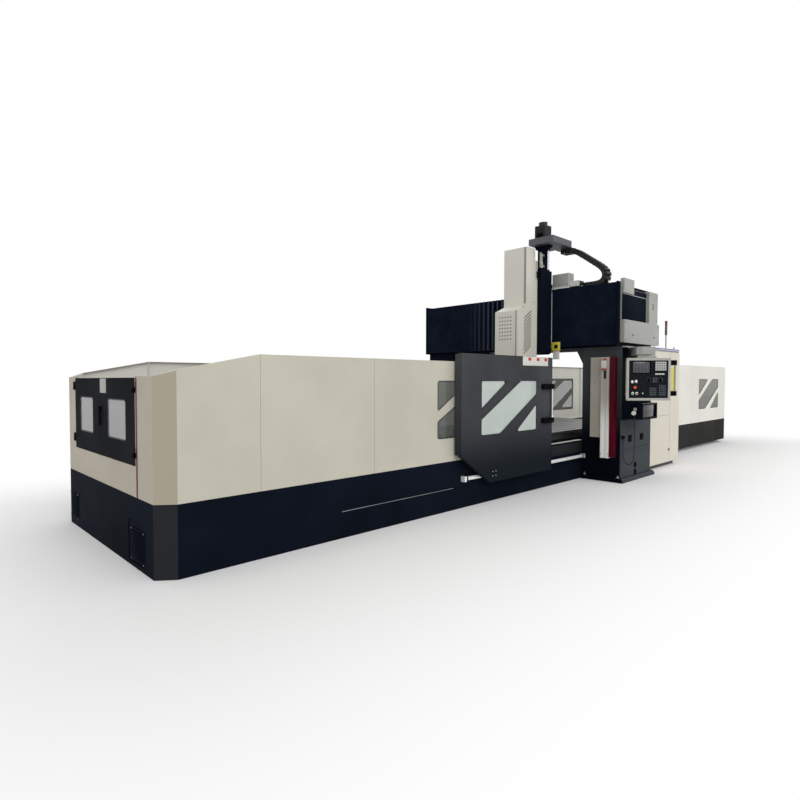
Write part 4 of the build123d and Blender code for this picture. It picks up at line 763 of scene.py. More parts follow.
class MILL_OT_cable_chain(bpy.types.Operator):
    """Strings the cable chain's links along its route, with the hoses that it carries"""

    bl_idname = "mill.cable_chain"
    bl_label = "Cable chain"

    def execute(self, context):
        pitch = context.scene.mill_finish.link_pitch
        line = guided_curve("chain_route", [(CHAIN_X, y, z) for y, z in CHAIN_ROUTE], 24)
        carrier = bpy.data.objects.new("chain_route", line)
        context.scene.collection.objects.link(carrier)
        context.view_layer.update()
        route = [v.co.copy() for v in bpy.data.meshes.new_from_object(carrier).vertices]
        bpy.data.objects.remove(carrier)
        bm = bmesh.new()
        for here, along in self.spread(route, pitch):
            turn = Vector((0, 1, 0)).rotation_difference(along).to_matrix().to_4x4()
            self.link(bm, Matrix.Translation(here) @ turn, pitch)
        chain = piece(bm, "cable_chain_links", None, "nylon", smooth=False)
        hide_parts("cable_chain")
        bm = bmesh.new()
        for offset, radius in ((-0.045, 0.014), (-0.012, 0.01), (0.014, 0.01), (0.045, 0.016)):
            self.hose(bm, route, offset, radius)
        hoses = piece(bm, "cable_chain_hoses", None, "rubber")
        for made in (chain, hoses):
            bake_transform(made)
        feet = (
            ((-0.445, -0.300, 3.111), (-0.265, -0.200, 3.117)),
            ((-0.445, -0.300, 3.111), (-0.265, -0.294, 3.225)),
        )
        box_piece("chain_foot_bracket", "frame", "bolt", feet, 0.001)
        places = [(x, -0.25, 3.117) for x in (-0.42, -0.29)]
        screw_piece("chain_foot_screws", "frame", places, (0, 0, 1), 0.008)
        return {"FINISHED"}

    def spread(self, route, pitch):
        """Points and directions at even steps along a line."""
        places = []
        left = pitch / 2
        for a, b in zip(route, route[1:]):
            length = (b - a).length
            while length > 1e-9 and left <= length:
                places.append((a + (b - a) * (left / length), (b - a).normalized()))
                left += pitch
            left -= length
        return places

    def link(self, bm, matrix, pitch):
        """One link: two waisted side plates, a bar above and a bar below."""
        half = pitch * 0.53
        for side in (-1, 1):
            x = side * 0.079
            cuboid(bm, (x - 0.006, -half, -0.043), (x + 0.006, half * 0.6, 0.043), 0.003, 1, matrix)
            x = side * 0.072
            cuboid(bm, (x - 0.005, -half * 0.2, -0.034), (x + 0.005, half, 0.034), 0.003, 1, matrix)
        for z in (-0.040, 0.036):
            cuboid(bm, (-0.079, -0.024, z), (0.079, 0.02, z + 0.004), 0.0, matrix=matrix)

    def hose(self, bm, route, offset, radius):
        """One hose along the chain: rings bridged into a tube through the route's points."""
        before = None
        for number in range(0, len(route), 3):
            here = route[number]
            after = route[min(number + 3, len(route) - 1)]
            ahead = (after - here) if number + 3 < len(route) else (here - route[number - 3])
            ring = bmesh.ops.create_circle(bm, segments=8, radius=radius)["verts"]
            stand(bm, ring, here + Vector((offset, 0, 0)), ahead)
            edges = edges_at(ring)
            if before:
                bmesh.ops.bridge_loops(bm, edges=before + edges)
            before = edges


class MILL_OT_window_seals(bpy.types.Operator):
    """Fits the rubber seals round every window opening"""

    bl_idname = "mill.window_seals"
    bl_label = "Window seals"

    def execute(self, context):
        bm = bmesh.new()
        for window in (LEFT_WINDOW, NEAR_RIGHT_WINDOW):
            for corners in window_shapes(*window):
                gasket(bm, corners, -1.36, -0.003)
        for window in (LEFT_WINDOW, FAR_RIGHT_WINDOW):
            for corners in window_shapes(*window):
                gasket(bm, corners, 1.36, 0.003)
        piece(bm, "guard_window_seals", "frame", "rubber")
        bm = bmesh.new()
        for corners in window_shapes(*DOOR_WINDOW):
            gasket(bm, corners, -1.48, -0.003)
        piece(bm, "sliding_door_window_seals", "sliding_door", "rubber")
        bottom, top = END_WINDOW_Z
        for door, (low, high) in END_WINDOWS.items():
            bm = bmesh.new()
            gasket(bm, [(low, bottom), (high, bottom), (high, top), (low, top)], 7.5, 0.003, 0.036, 0.011)
            bmesh.ops.transform(bm, matrix=Matrix.Rotation(math.radians(90), 4, "Z"), verts=bm.verts)
            piece(bm, door + "_window_seal", door, "rubber")
        return {"FINISHED"}


class MILL_OT_door_fittings(bpy.types.Operator):
    """Fits the sliding door's bare sign, screws, pull tube and the trims of the doorway"""

    bl_idname = "mill.door_fittings"
    bl_label = "Door fittings"

    def execute(self, context):
        radius = context.scene.mill_finish.screw_radius
        sign = [((-2.498, -1.4825, 1.822), (-1.825, -1.4801, 1.947))]
        box_piece("door_sign_plate", "sliding_door", "white", sign, 0.001)
        marks = [((x, -1.4835, 1.892), (x + 0.075, -1.4826, 1.935)) for x in (-2.36, -2.14, -1.93)]
        box_piece("door_sign_marks", "sliding_door", "red", marks, 0.0004)
        places = [(x, -1.4801, z) for x in (-3.195, -3.127) for z in (0.368, 0.427)]
        places += [(x, -1.4801, z) for x in (-1.93, -1.78) for z in (1.03, 1.524)]
        screw_piece("door_screws", "sliding_door", places, (0, -1, 0), radius)
        bm = bmesh.new()
        disc(bm, (-1.745, -1.509, 1.069), (0, 0, 1), 0.0135, 0.416, 24)
        for z in (1.072, 1.468):
            disc(bm, (-1.745, -1.509, z), (0, 0, 1), 0.0165, 0.014, 24, 0.002)
        piece(bm, "door_pull_tube", "sliding_door", "chrome")
        plate = [((-2.400, -1.3640, 0.440), (-0.515, -1.3604, 0.604))]
        box_piece("doorway_sill_plate", "frame", "leaf", plate, 0.001)
        edge = [((-1.7025, -1.4815, 0.42), (-1.6995, -1.428, 1.945))]
        box_piece("door_edge_trim", "sliding_door", "black", edge, 0.001)
        strip = [((-1.797, -1.3745, 0.6292), (-0.512, -1.2895, 0.6325))]
        box_piece("doorway_sill_strip", "frame", "alu", strip, 0.001)
        line = [((-5.64, -1.3665, 0.271), (-3.86, -1.3603, 0.279))]
        box_piece("skirt_conduit", "frame", "bolt", line, 0.002)
        bm = bmesh.new()
        for x in (-3.640, -0.575):
            disc(bm, (x - 0.012, -1.395, 0.372), (1, 0, 0), 0.031, 0.024, 24, 0.003)
        piece(bm, "door_rail_stops", "frame", "black")
        return {"FINISHED"}


class MILL_OT_gantry_fittings(bpy.types.Operator):
    """Fits the screws, dark plate and gland details of the columns and the crossbeam"""

    bl_idname = "mill.gantry_fittings"
    bl_label = "Gantry fittings"

    def execute(self, context):
        radius = context.scene.mill_finish.screw_radius
        dark = [((-0.556, -2.0045, 2.564), (0.386, -2.0021, 3.056))]
        box_piece("beam_end_dark_plate", "frame", "navy", dark, 0.001)
        fascia = [((-0.560, -2.0400, 2.975), (-0.190, -2.0046, 3.062))]
        box_piece("beam_end_fascia", "frame", "silver", fascia, 0.003)
        rim = [
            ((-0.560, -2.0085, 2.962), (0.390, -2.0046, 2.974)),
            ((0.378, -2.0085, 2.561), (0.3895, -2.0046, 2.962)),
        ]
        box_piece("beam_end_plate_rim", "frame", "silver", rim, 0.001)
        places = [(x, -2.0505, z) for x in (-0.50, 0.78) for z in (2.24, 2.525)]
        places += [(x, -2.0505, z) for x in (0.43, 0.72) for z in (2.62, 3.02)]
        screw_piece("beam_end_cover_screws", "frame", places, (0, -1, 0), radius)
        bm = bmesh.new()
        for x in (-0.24, 0.63):
            disc(bm, (x, -2.0385, 2.330), (0, -1, 0), 0.015, 0.016, 6)
        piece(bm, "beam_end_cover_bolts", "frame", "lock")
        bm = bmesh.new()
        for x in (-0.44, -0.2, 0.04, 0.28, 0.52):
            disc(bm, (x, 1.9805, 2.19), (0, 1, 0), 0.018, 0.014, 6, 0.002)
        piece(bm, "beam_seat_bolts", "frame", "bolt")
        anchors = []
        bm = bmesh.new()
        for x in (-0.532, 0.702):
            for y in (1.96, 1.42):
                anchors += [(x, y), (x, -y)]
        for x, y in anchors:
            disc(bm, (x, y, 0.0702), (0, 0, 1), 0.027, 0.006, 20, 0.001)
            disc(bm, (x, y, 0.0762), (0, 0, 1), 0.021, 0.018, 6, 0.002)
            disc(bm, (x, y, 0.0942), (0, 0, 1), 0.012, 0.014, 12, 0.002)
        piece(bm, "column_anchor_nuts", "frame", "bolt")
        plates = [
            ((-0.243, -2.0005, 0.627), (-0.097, -1.9965, 0.733)),
            ((0.217, -2.0005, 0.627), (0.363, -1.9965, 0.733)),
        ]
        box_piece("column_gland_frames", "frame", "black", plates, 0.001)
        bm = bmesh.new()
        for x, z in ((-0.17, 0.68), (0.29, 0.68), (0.04, 0.235)):
            disc(bm, (x, -2.006, z), (0, -1, 0), 0.022, 0.014, 6)
            disc(bm, (x, -2.014, z), (0, -1, 0), 0.014, 0.026, 20, 0.003, 0.010)
        piece(bm, "column_cable_glands", "frame", "nylon")
        # A pale strip along the seam of column and beam: a painted highlight.
        top_highlight = [((-0.5115, -2.0012, 2.1475), (0.681, -1.9998, 2.1525))]
        box_piece("column_top_painted_highlight", "frame", "silver", top_highlight, 0.0005)
        wipers = [
            ((SADDLE_LOW.x + 0.006, -0.872, 2.19), (-0.52, -0.8685, 3.09)),
            ((SADDLE_LOW.x + 0.006, -0.2695, 2.19), (-0.52, -0.266, 3.08)),
        ]
        box_piece("saddle_wipers", "carriage", "rubber", wipers, 0.001)
        return {"FINISHED"}


class MILL_OT_carriage_fittings(bpy.types.Operator):
    """Fits the rod sleeve, bracket, bare plates, drive details and motor connectors on the carriage"""

    bl_idname = "mill.carriage_fittings"
    bl_label = "Carriage fittings"

    def execute(self, context):
        radius = context.scene.mill_finish.screw_radius
        bm = bmesh.new()
        disc(bm, (-0.735, -0.835, 3.452), (0, 0, 1), 0.025, 0.396, 24)
        piece(bm, "balance_rod_sleeve", "carriage", "chrome")
        bm = bmesh.new()
        disc(bm, (-0.735, -0.835, 3.4505), (0, 0, 1), 0.034, 0.022, 24, 0.003)
        disc(bm, (-0.735, -0.835, 3.8300), (0, 0, 1), 0.034, 0.019, 24, 0.003)
        piece(bm, "balance_rod_gland", "carriage", "lock")
        bracket = [
            ((-1.022, -0.862, 3.470), (-0.940, -0.856, 3.720)),
            ((-0.940, -0.862, 3.490), (-0.889, -0.850, 3.520)),
            ((-0.940, -0.862, 3.670), (-0.889, -0.850, 3.700)),
            ((-1.012, -0.878, 3.500), (-0.955, -0.863, 3.560)),
            ((-1.005, -0.875, 3.600), (-0.965, -0.863, 3.690)),
        ]
        box_piece("limit_switch_bracket", "carriage", "alu", bracket, 0.002)
        places = [(-0.915, -0.8622, z) for z in (3.505, 3.685)]
        screw_piece("limit_switch_screws", "carriage", places, (0, -1, 0), 0.008)
        clamp = [
            ((-1.030, -0.8560, 3.318), (-0.9755, -0.8040, 3.352)),
            ((-1.030, -0.8560, 3.375), (-0.9755, -0.8040, 3.409)),
        ]
        box_piece("hose_clamps", "carriage", "black", clamp, 0.006)
        plate = [((-0.6490, -1.030, 2.114), (-0.6462, -0.874, 2.256))]
        box_piece("yellow_bare_plate", "carriage", "yellow", plate, 0.001)
        mark = [((-0.6500, -0.985, 2.150), (-0.6491, -0.925, 2.215))]
        box_piece("yellow_plate_mark", "carriage", "black", mark, 0.0004)
        white = [((-0.6490, -1.019, 1.966), (-0.6462, -0.900, 2.104))]
        box_piece("white_bare_plate", "carriage", "white", white, 0.001)
        hanger = [
            ((-0.6462, -1.010, 1.972), (-0.6402, -0.985, 2.250)),
            ((-0.6462, -1.010, 2.205), (-0.6402, -0.859, 2.235)),
        ]
        box_piece("bare_plate_hanger", "carriage", "bolt", hanger, 0.001)
        lid = [
            ((-0.634, -1.1690, 3.175), (-0.476, -1.1655, 3.385)),
            ((-0.6435, -1.155, 3.180), (-0.6405, -0.882, 3.380)),
        ]
        box_piece("drive_box_lids", "carriage", "silver", lid, 0.001)
        places = [(-0.6436, y, z) for y in (-1.135, -0.902) for z in (3.2, 3.36)]
        screw_piece("drive_box_screws", "carriage", places, (-1, 0, 0), radius)
        bm = bmesh.new()
        disc(bm, (-0.555, -1.3305, 3.206), (0, -1, 0), 0.036, 0.02, 24, 0.004)
        for x in (-0.59, -0.52):
            for z in (3.18, 3.232):
                disc(bm, (x, -1.3305, z), (0, -1, 0), 0.007, 0.008, 6)
        piece(bm, "drive_coupling_cap", "carriage", "lock")
        connector = [
            ((-0.9290, -0.845, 3.960), (-0.9265, -0.755, 4.060)),
            ((-0.975, -0.835, 3.975), (-0.9290, -0.765, 4.045)),
        ]
        box_piece("motor_connector", "carriage", "black", connector, 0.004)
        bm = bmesh.new()
        for x in (-0.91, -0.75):
            for y in (-0.88, -0.72):
                disc(bm, (x, y, 4.1805), (0, 0, 1), 0.009, 0.01, 6)
        disc(bm, (-0.830, -0.800, 4.2455), (0, 0, 1), 0.05, 0.004, 24, 0.002)
        piece(bm, "motor_cap_bolts", "carriage", "lock")
        places = [(x, -1.1002, 3.875) for x in (-0.98, -0.735, -0.49)]
        screw_piece("tray_screws", "carriage", places, (0, -1, 0), radius)
        return {"FINISHED"}


class MILL_OT_head_fittings(bpy.types.Operator):
    """Fits the head cover's screws, black sheets and strips of painted shade behind and over its louvres,
    grey strips of painted shade in its grooves, and the spindle nose's bolts
    """

    bl_idname = "mill.head_fittings"
    bl_label = "Head fittings"

    def execute(self, context):
        radius = context.scene.mill_finish.screw_radius
        places = [(x, -0.7902, z) for x in (-1.12, -1.07) for z in (2.0, 2.9, 3.7)]
        screw_piece("head_cover_screws", "head", places, (0, -1, 0), radius * 0.8)
        # Black sheets behind the louvre slots: painted shade inside the cover.
        shade_sheets = [
            ((-1.395, -0.7805, 2.030), (-1.135, -0.7790, 2.810)),
            ((-1.5405, -0.690, 2.240), (-1.5390, -0.420, 2.670)),
        ]
        box_piece("head_louvre_shade_sheets", "head", "black", shade_sheets, 0.0002)
        # Thin black strips over the louvre slots: painted shadow of the slots.
        bm = bmesh.new()
        slope = Matrix.Rotation(-math.atan2(0.135, 0.215), 4, "Y")
        for number in range(12):
            centre = Matrix.Translation((-1.2675, -0.7902, 2.1155 + number * 0.0517))
            cuboid(bm, (-0.127, -0.0008, -0.0075), (0.127, 0.0, 0.0075), 0.0003, 1, centre @ slope)
        piece(bm, "head_louvre_painted_shadows", "head", "black")
        # Grey strips in the cover's grooves: painted shade.
        groove_shades = [
            ((-1.2962, -0.774, 2.866), (-1.2952, -0.736, 3.776)),
            ((-1.5508, -0.766, 1.903), (-1.5502, -0.744, 2.736)),
        ]
        box_piece("head_groove_painted_shade", "head", "groove_shade", groove_shades, 0.0002)
        bm = bmesh.new()
        for number in range(8):
            angle = math.radians(22.5 + number * 45)
            place = (-1.34 + math.cos(angle) * 0.062, -0.575 + math.sin(angle) * 0.062, 1.3398)
            screw(bm, place, (0, 0, -1), 0.006)
        piece(bm, "spindle_nose_bolts", "spindle", "lock")
        return {"FINISHED"}


class MILL_OT_pendant_controls(bpy.types.Operator):
    """Lays out the pendant's screen, keys, lamp rings and handle on its own face"""

    bl_idname = "mill.pendant_controls"
    bl_label = "Pendant controls"

    def execute(self, context):
        screen = [((-0.2385, 0.0008, 0.0965), (0.0165, 0.0018, 0.2605))]
        box_piece("pendant_screen", "pendant", "lcd", screen, 0.0004, PENDANT)
        bm = bmesh.new()
        bars = (
            ((-0.252, 0.083), (0.030, 0.095)), ((-0.252, 0.262), (0.030, 0.274)),
            ((-0.252, 0.095), (-0.240, 0.262)), ((0.018, 0.095), (0.030, 0.262)),
        )
        for (x0, z0), (x1, z1) in bars:
            cuboid(bm, (x0, -0.006, z0), (x1, -0.0001, z1), 0.002, 2, PENDANT)
        piece(bm, "pendant_screen_frame", "pendant", "black")
        self.keys("pendant_keypad_keys", "key", (0.094, 0.262), (0.128, 0.266), 6, 5)
        self.keys("pendant_row_keys", "key", (0.094, 0.234), (0.063, 0.093), 6, 1)
        self.keys("pendant_block_keys", "darkkey", (0.012, 0.118), (-0.248, -0.122), 4, 4)
        self.keys("pendant_side_keys", "darkkey", (0.152, 0.260), (-0.248, -0.082), 4, 5)
        self.keys("pendant_mode_keys", "darkkey", (0.055, 0.130), (-0.052, 0.032), 3, 3, -0.0002)
        self.keys("pendant_lamp_keys", "ivory", (-0.100, -0.078), (-0.222, -0.200), 1, 1)
        bm = bmesh.new()
        rings = ((-0.246, -0.040), (-0.188, -0.034), (-0.237, -0.212), (-0.177, -0.212))
        for x, z in rings:
            disc(bm, (x, -0.0002, z), (0, -1, 0), 0.021, 0.005, 24, 0.0015)
        bmesh.ops.transform(bm, matrix=PENDANT, verts=bm.verts)
        piece(bm, "pendant_button_rings", "pendant", "chrome")
        bm = bmesh.new()
        for x, z in rings[:2]:
            disc(bm, (x, -0.005, z), (0, -1, 0), 0.013, 0.008, 24, 0.002)
        bmesh.ops.transform(bm, matrix=PENDANT, verts=bm.verts)
        piece(bm, "pendant_white_buttons", "pendant", "ivory")
        bm = bmesh.new()
        for x, z in ((0.0, -0.006), (0.18, -0.006)):
            for number in range(11):
                angle = math.radians(-135 + number * 27)
                place = Vector((x + math.sin(angle) * 0.031, -0.0006, z + math.cos(angle) * 0.031))
                turned = Matrix.Translation(place) @ Matrix.Rotation(angle, 4, "Y")
                cuboid(bm, (-0.0008, 0, -0.003), (0.0008, 0.0005, 0.003), 0.0, 1, PENDANT @ turned)
        piece(bm, "pendant_dial_marks", "pendant", "ivory")
        brackets = [
            ((0.290, 0.029, 0.207), (0.443, 0.071, 0.291)),
            ((0.290, 0.029, -0.254), (0.443, 0.071, -0.172)),
        ]
        box_piece("pendant_handle_brackets", "pendant", "black", brackets, 0.008, PENDANT)
        bm = bmesh.new()
        disc(bm, (0.422, 0.05, -0.172), (0, 0, 1), 0.0145, 0.379, 24)
        bmesh.ops.transform(bm, matrix=PENDANT, verts=bm.verts)
        piece(bm, "pendant_handle_tube", "pendant", "frame")
        places = [(x, -0.0002, z) for x in (-0.312, 0.312) for z in (-0.300, 0.300)]
        screw_piece("pendant_screws", "pendant", places, (0, -1, 0), 0.006, matrix=PENDANT)
        return {"FINISHED"}

    def keys(self, name, finish, x, z, columns, rows, y=-0.0031):
        """A block of like keys that stand on the face, with gaps between them."""
        wide = (x[1] - x[0]) / columns
        high = (z[1] - z[0]) / rows
        boxes = []
        for column in range(columns):
            for row in range(rows):
                low = (x[0] + wide * (column + 0.1), y - 0.004, z[0] + high * (row + 0.12))
                boxes.append((low, (x[0] + wide * (column + 0.9), y, z[0] + high * (row + 0.88))))
        box_piece(name, "pendant", finish, boxes, 0.0015, PENDANT)


class MILL_OT_arm_cover(bpy.types.Operator):
    """Folds the pale sheet cover over the pendant's arm: a wide flange from the column, a deep tip"""

    bl_idname = "mill.arm_cover"
    bl_label = "Arm cover"

    def execute(self, context):
        bm = bmesh.new()
        flange = (
            (-0.185, -2.062), (-0.490, -2.070), (-0.560, -2.130), (-0.672, -2.290),
            (-0.655, -2.365), (-0.470, -2.475), (-0.415, -2.440), (-0.205, -2.140),
        )
        tip = ((-0.640, -2.275), (-0.672, -2.300), (-0.655, -2.365), (-0.470, -2.475), (-0.415, -2.440))
        for corners, low, high in ((flange, 2.112, 2.120), (tip, 2.001, 2.112)):
            face = bm.faces.new([bm.verts.new((x, y, low)) for x, y in corners])
            grown = bmesh.ops.extrude_face_region(bm, geom=[face])["geom"]
            top = [g for g in grown if isinstance(g, bmesh.types.BMVert)]
            bmesh.ops.translate(bm, vec=(0, 0, high - low), verts=top)
        edges = [e for e in bm.edges if e.calc_length() > 0.02]
        bmesh.ops.bevel(bm, geom=edges, offset=0.003, segments=2, profile=0.5, affect="EDGES", material=-1)
        piece(bm, "pendant_arm_cover", "pendant_arm", "silver")
        return {"FINISHED"}


class MILL_OT_operator_station(bpy.types.Operator):
    """Glazes the operator's box and details the handwheel unit and the tap beside it"""

    bl_idname = "mill.operator_station"
    bl_label = "Operator station"

    def execute(self, context):
        glass = [((-0.469, -2.3005, 1.039), (0.059, -2.2965, 1.231))]
        box_piece("operator_box_window", "frame", "darkglass", glass, 0.001)
        rim = [
            ((-0.480, -2.3135, 1.028), (0.070, -2.3095, 1.038)),
            ((-0.480, -2.3135, 1.232), (0.070, -2.3095, 1.242)),
            ((-0.480, -2.3135, 1.038), (-0.470, -2.3095, 1.232)),
            ((0.060, -2.3135, 1.038), (0.070, -2.3095, 1.232)),
        ]
        box_piece("operator_box_rim", "frame", "slate", rim, 0.0015)
        lines = [
            ((-0.5005, -2.3118, 1.2555), (0.0905, -2.3095, 1.2605)),
            ((0.0855, -2.3118, 1.0095), (0.0905, -2.3095, 1.2555)),
        ]
        box_piece("operator_box_edges", "frame", "silver", lines, 0.0008)
        bm = bmesh.new()
        disc(bm, (-0.5632, -2.210, 1.112), (-1, 0, 0), 0.036, 0.002, 32)
        piece(bm, "handwheel_scale_ring", "frame", "alu")
        bm = bmesh.new()
        for number in range(20):
            angle = math.radians(number * 18)
            place = (-0.5653, -2.210 + math.sin(angle) * 0.0335, 1.112 + math.cos(angle) * 0.0335)
            turned = Matrix.Translation(place) @ Matrix.Rotation(-angle, 4, "X")
            cuboid(bm, (0, -0.0006, -0.002), (0.0004, 0.0006, 0.002), 0.0, 1, turned)
        piece(bm, "handwheel_scale_marks", "frame", "ivory")
        label = [((-0.5622, -2.248, 1.152), (-0.5601, -2.205, 1.192))]
        box_piece("handwheel_label_plate", "frame", "key", label, 0.0008)
        knobs = [((-0.5745, -2.200, 1.168), (-0.5602, -2.180, 1.182))]
        box_piece("handwheel_selector", "frame", "black", knobs, 0.003)
        bm = bmesh.new()
        disc(bm, (-0.420, -2.0002, 1.120), (0, -1, 0), 0.018, 0.012, 20, 0.002)
        disc(bm, (-0.420, -2.012, 1.120), (0, -1, 0), 0.009, 0.05, 16, 0.002)
        disc(bm, (-0.420, -2.052, 1.112), (0, 0, 1), 0.007, 0.03, 16, 0.002)
        cuboid(bm, (-0.470, -2.060, 1.142), (-0.405, -2.044, 1.149), 0.003)
        piece(bm, "coolant_tap", "frame", "chrome")
        return {"FINISHED"}


class MILL_OT_cabinet_fittings(bpy.types.Operator):
    """Fits the cabinet's band, bare yellow plate, door locks, hinges and lifting eyes"""

    bl_idname = "mill.cabinet_fittings"
    bl_label = "Cabinet fittings"

    def execute(self, context):
        band = [((0.858, -1.8695, 2.150), (2.385, -1.8605, 2.198))]
        box_piece("cabinet_band", "frame", "violet", band, 0.001)
        stripe = [((0.862, -1.8705, 2.168), (2.381, -1.8696, 2.180))]
        box_piece("cabinet_band_stripe", "frame", "white", stripe, 0.0004)
        plate = [((1.955, -1.8830, 1.390), (2.165, -1.8802, 1.860))]
        box_piece("cabinet_yellow_plate", "frame", "yellow", plate, 0.001)
        for door, z in (("lower", 0.315), ("upper", 1.56)):
            bm = bmesh.new()
            disc(bm, (1.855, -1.8902, z), (0, -1, 0), 0.024, 0.006, 24, 0.002)
            disc(bm, (1.855, -1.8962, z), (0, -1, 0), 0.010, 0.004, 16, 0.001)
            cuboid(bm, (1.849, -1.9035, z - 0.016), (1.861, -1.9002, z + 0.016), 0.001)
            piece(bm, "cabinet_%s_lock" % door, "cabinet_%s_door" % door, "lock")
        bm = bmesh.new()
        for x in (0.95, 2.30):
            for y in (-1.80, -1.43):
                disc(bm, (x, y, 2.2052), (0, 0, 1), 0.024, 0.008, 20, 0.002)
                ring = Matrix.Translation((x, y, 2.232)) @ Matrix.Rotation(math.radians(90), 4, "X")
                self.eye(bm, ring)
        piece(bm, "cabinet_lifting_eyes", "frame", "bolt")
        louvres = []
        for number in range(9):
            z = 1.55 + number * 0.04
            louvres.append(((2.4005, -1.72, z), (2.408, -1.50, z + 0.012)))
        box_piece("cabinet_side_louvres", "frame", "cabinet", louvres, 0.003)
        return {"FINISHED"}

    def eye(self, bm, matrix):
        """A closed ring with a round section."""
        circle = bmesh.ops.create_circle(bm, segments=10, radius=0.005)["verts"]
        bmesh.ops.rotate(bm, cent=(0, 0, 0), matrix=Matrix.Rotation(math.radians(90), 3, "X"), verts=circle)
        bmesh.ops.translate(bm, vec=(0.02, 0, 0), verts=circle)
        made = bmesh.ops.spin(
            bm, geom=edges_at(circle), cent=(0, 0, 0), axis=(0, 0, 1), angle=math.tau, steps=20,
            use_merge=True,
        )["geom_last"]
        ring = connected([g for g in made if isinstance(g, bmesh.types.BMVert) and g.is_valid] or circle)
        bmesh.ops.transform(bm, matrix=matrix, verts=ring)


class MILL_OT_end_fittings(bpy.types.Operator):
    """Fits the left end's bare plate, vents, screws and the guards' small fasteners"""

    bl_idname = "mill.end_fittings"
    bl_label = "End fittings"

    def execute(self, context):
        radius = context.scene.mill_finish.screw_radius
        plate = [((-7.5030, -0.090, 1.495), (-7.5004, 0.094, 1.634))]
        box_piece("end_door_bare_plate", "near_end_door", "silver", plate, 0.001, record_slot="white_paint")
        for name, (y0, y1), (z0, z1) in (
            ("near_end_vent", (-1.050, -0.745), (0.065, 0.345)),
            ("far_end_vent", (0.920, 1.225), (0.085, 0.365)),
        ):
            x = -7.5
            boxes = [
                ((x - 0.006, y0, z0), (x - 0.0004, y1, z0 + 0.016)),
                ((x - 0.006, y0, z1 - 0.016), (x - 0.0004, y1, z1)),
                ((x - 0.006, y0, z0), (x - 0.0004, y0 + 0.016, z1)),
                ((x - 0.006, y1 - 0.016, z0), (x - 0.0004, y1, z1)),
            ]
            for number in range(9):
                z = z0 + 0.026 + number * 0.026
                boxes.append(((x - 0.010, y0 + 0.018, z), (x - 0.0004, y1 - 0.018, z + 0.012)))
            box_piece(name, "frame", "navy", boxes, 0.002, record_slot="mid_grey_paint")
            places = [(x - 0.0062, y, z) for y in (y0 + 0.008, y1 - 0.008) for z in (z0 + 0.008, z1 - 0.008)]
            screw_piece(name + "_screws", "frame", places, (-1, 0, 0), radius * 0.7)
        bm = bmesh.new()
        for x in (-7.25, -6.5, -5.6, -4.7, -3.9, 1.2, 2.4, 3.6, 4.8, 6.0, 7.2):
            screw(bm, (x, 1.3602, 0.655), (0, 1, 0), radius * 0.8)
            if x > 2.6:
                screw(bm, (x, -1.3602, 0.655), (0, -1, 0), radius * 0.8)
        piece(bm, "guard_screws", "frame", "bolt")
        return {"FINISHED"}


class MILL_OT_jamb_fittings(bpy.types.Operator):
    """Fits the doorway jamb's screws, switch and dark inset"""

    bl_idname = "mill.jamb_fittings"
    bl_label = "Jamb fittings"

    def execute(self, context):
        places = [(-0.6002, -1.605, z) for z in (0.79, 1.177, 1.577, 1.93)]
        screw_piece("jamb_cover_screws", "frame", places, (-1, 0, 0), 0.010)
        body = [((-0.668, -1.815, 1.802), (-0.6405, -1.736, 1.925))]
        box_piece("door_switch_body", "frame", "key", body, 0.004)
        caps = [
            ((-0.664, -1.812, 1.926), (-0.6405, -1.765, 1.950)),
            ((-0.664, -1.805, 1.778), (-0.6405, -1.740, 1.801)),
        ]
        box_piece("door_switch_caps", "frame", "red", caps, 0.003)
        inset = [((-0.6330, -1.808, 1.640), (-0.6282, -1.769, 1.765))]
        box_piece("jamb_inset", "frame", "slate", inset, 0.001)
        places = [(-0.6402, y, z) for y in (-1.736, -1.840) for z in (0.45, 0.9, 1.35)]
        screw_piece("jamb_strip_screws", "frame", places, (-1, 0, 0), 0.006)
        return {"FINISHED"}


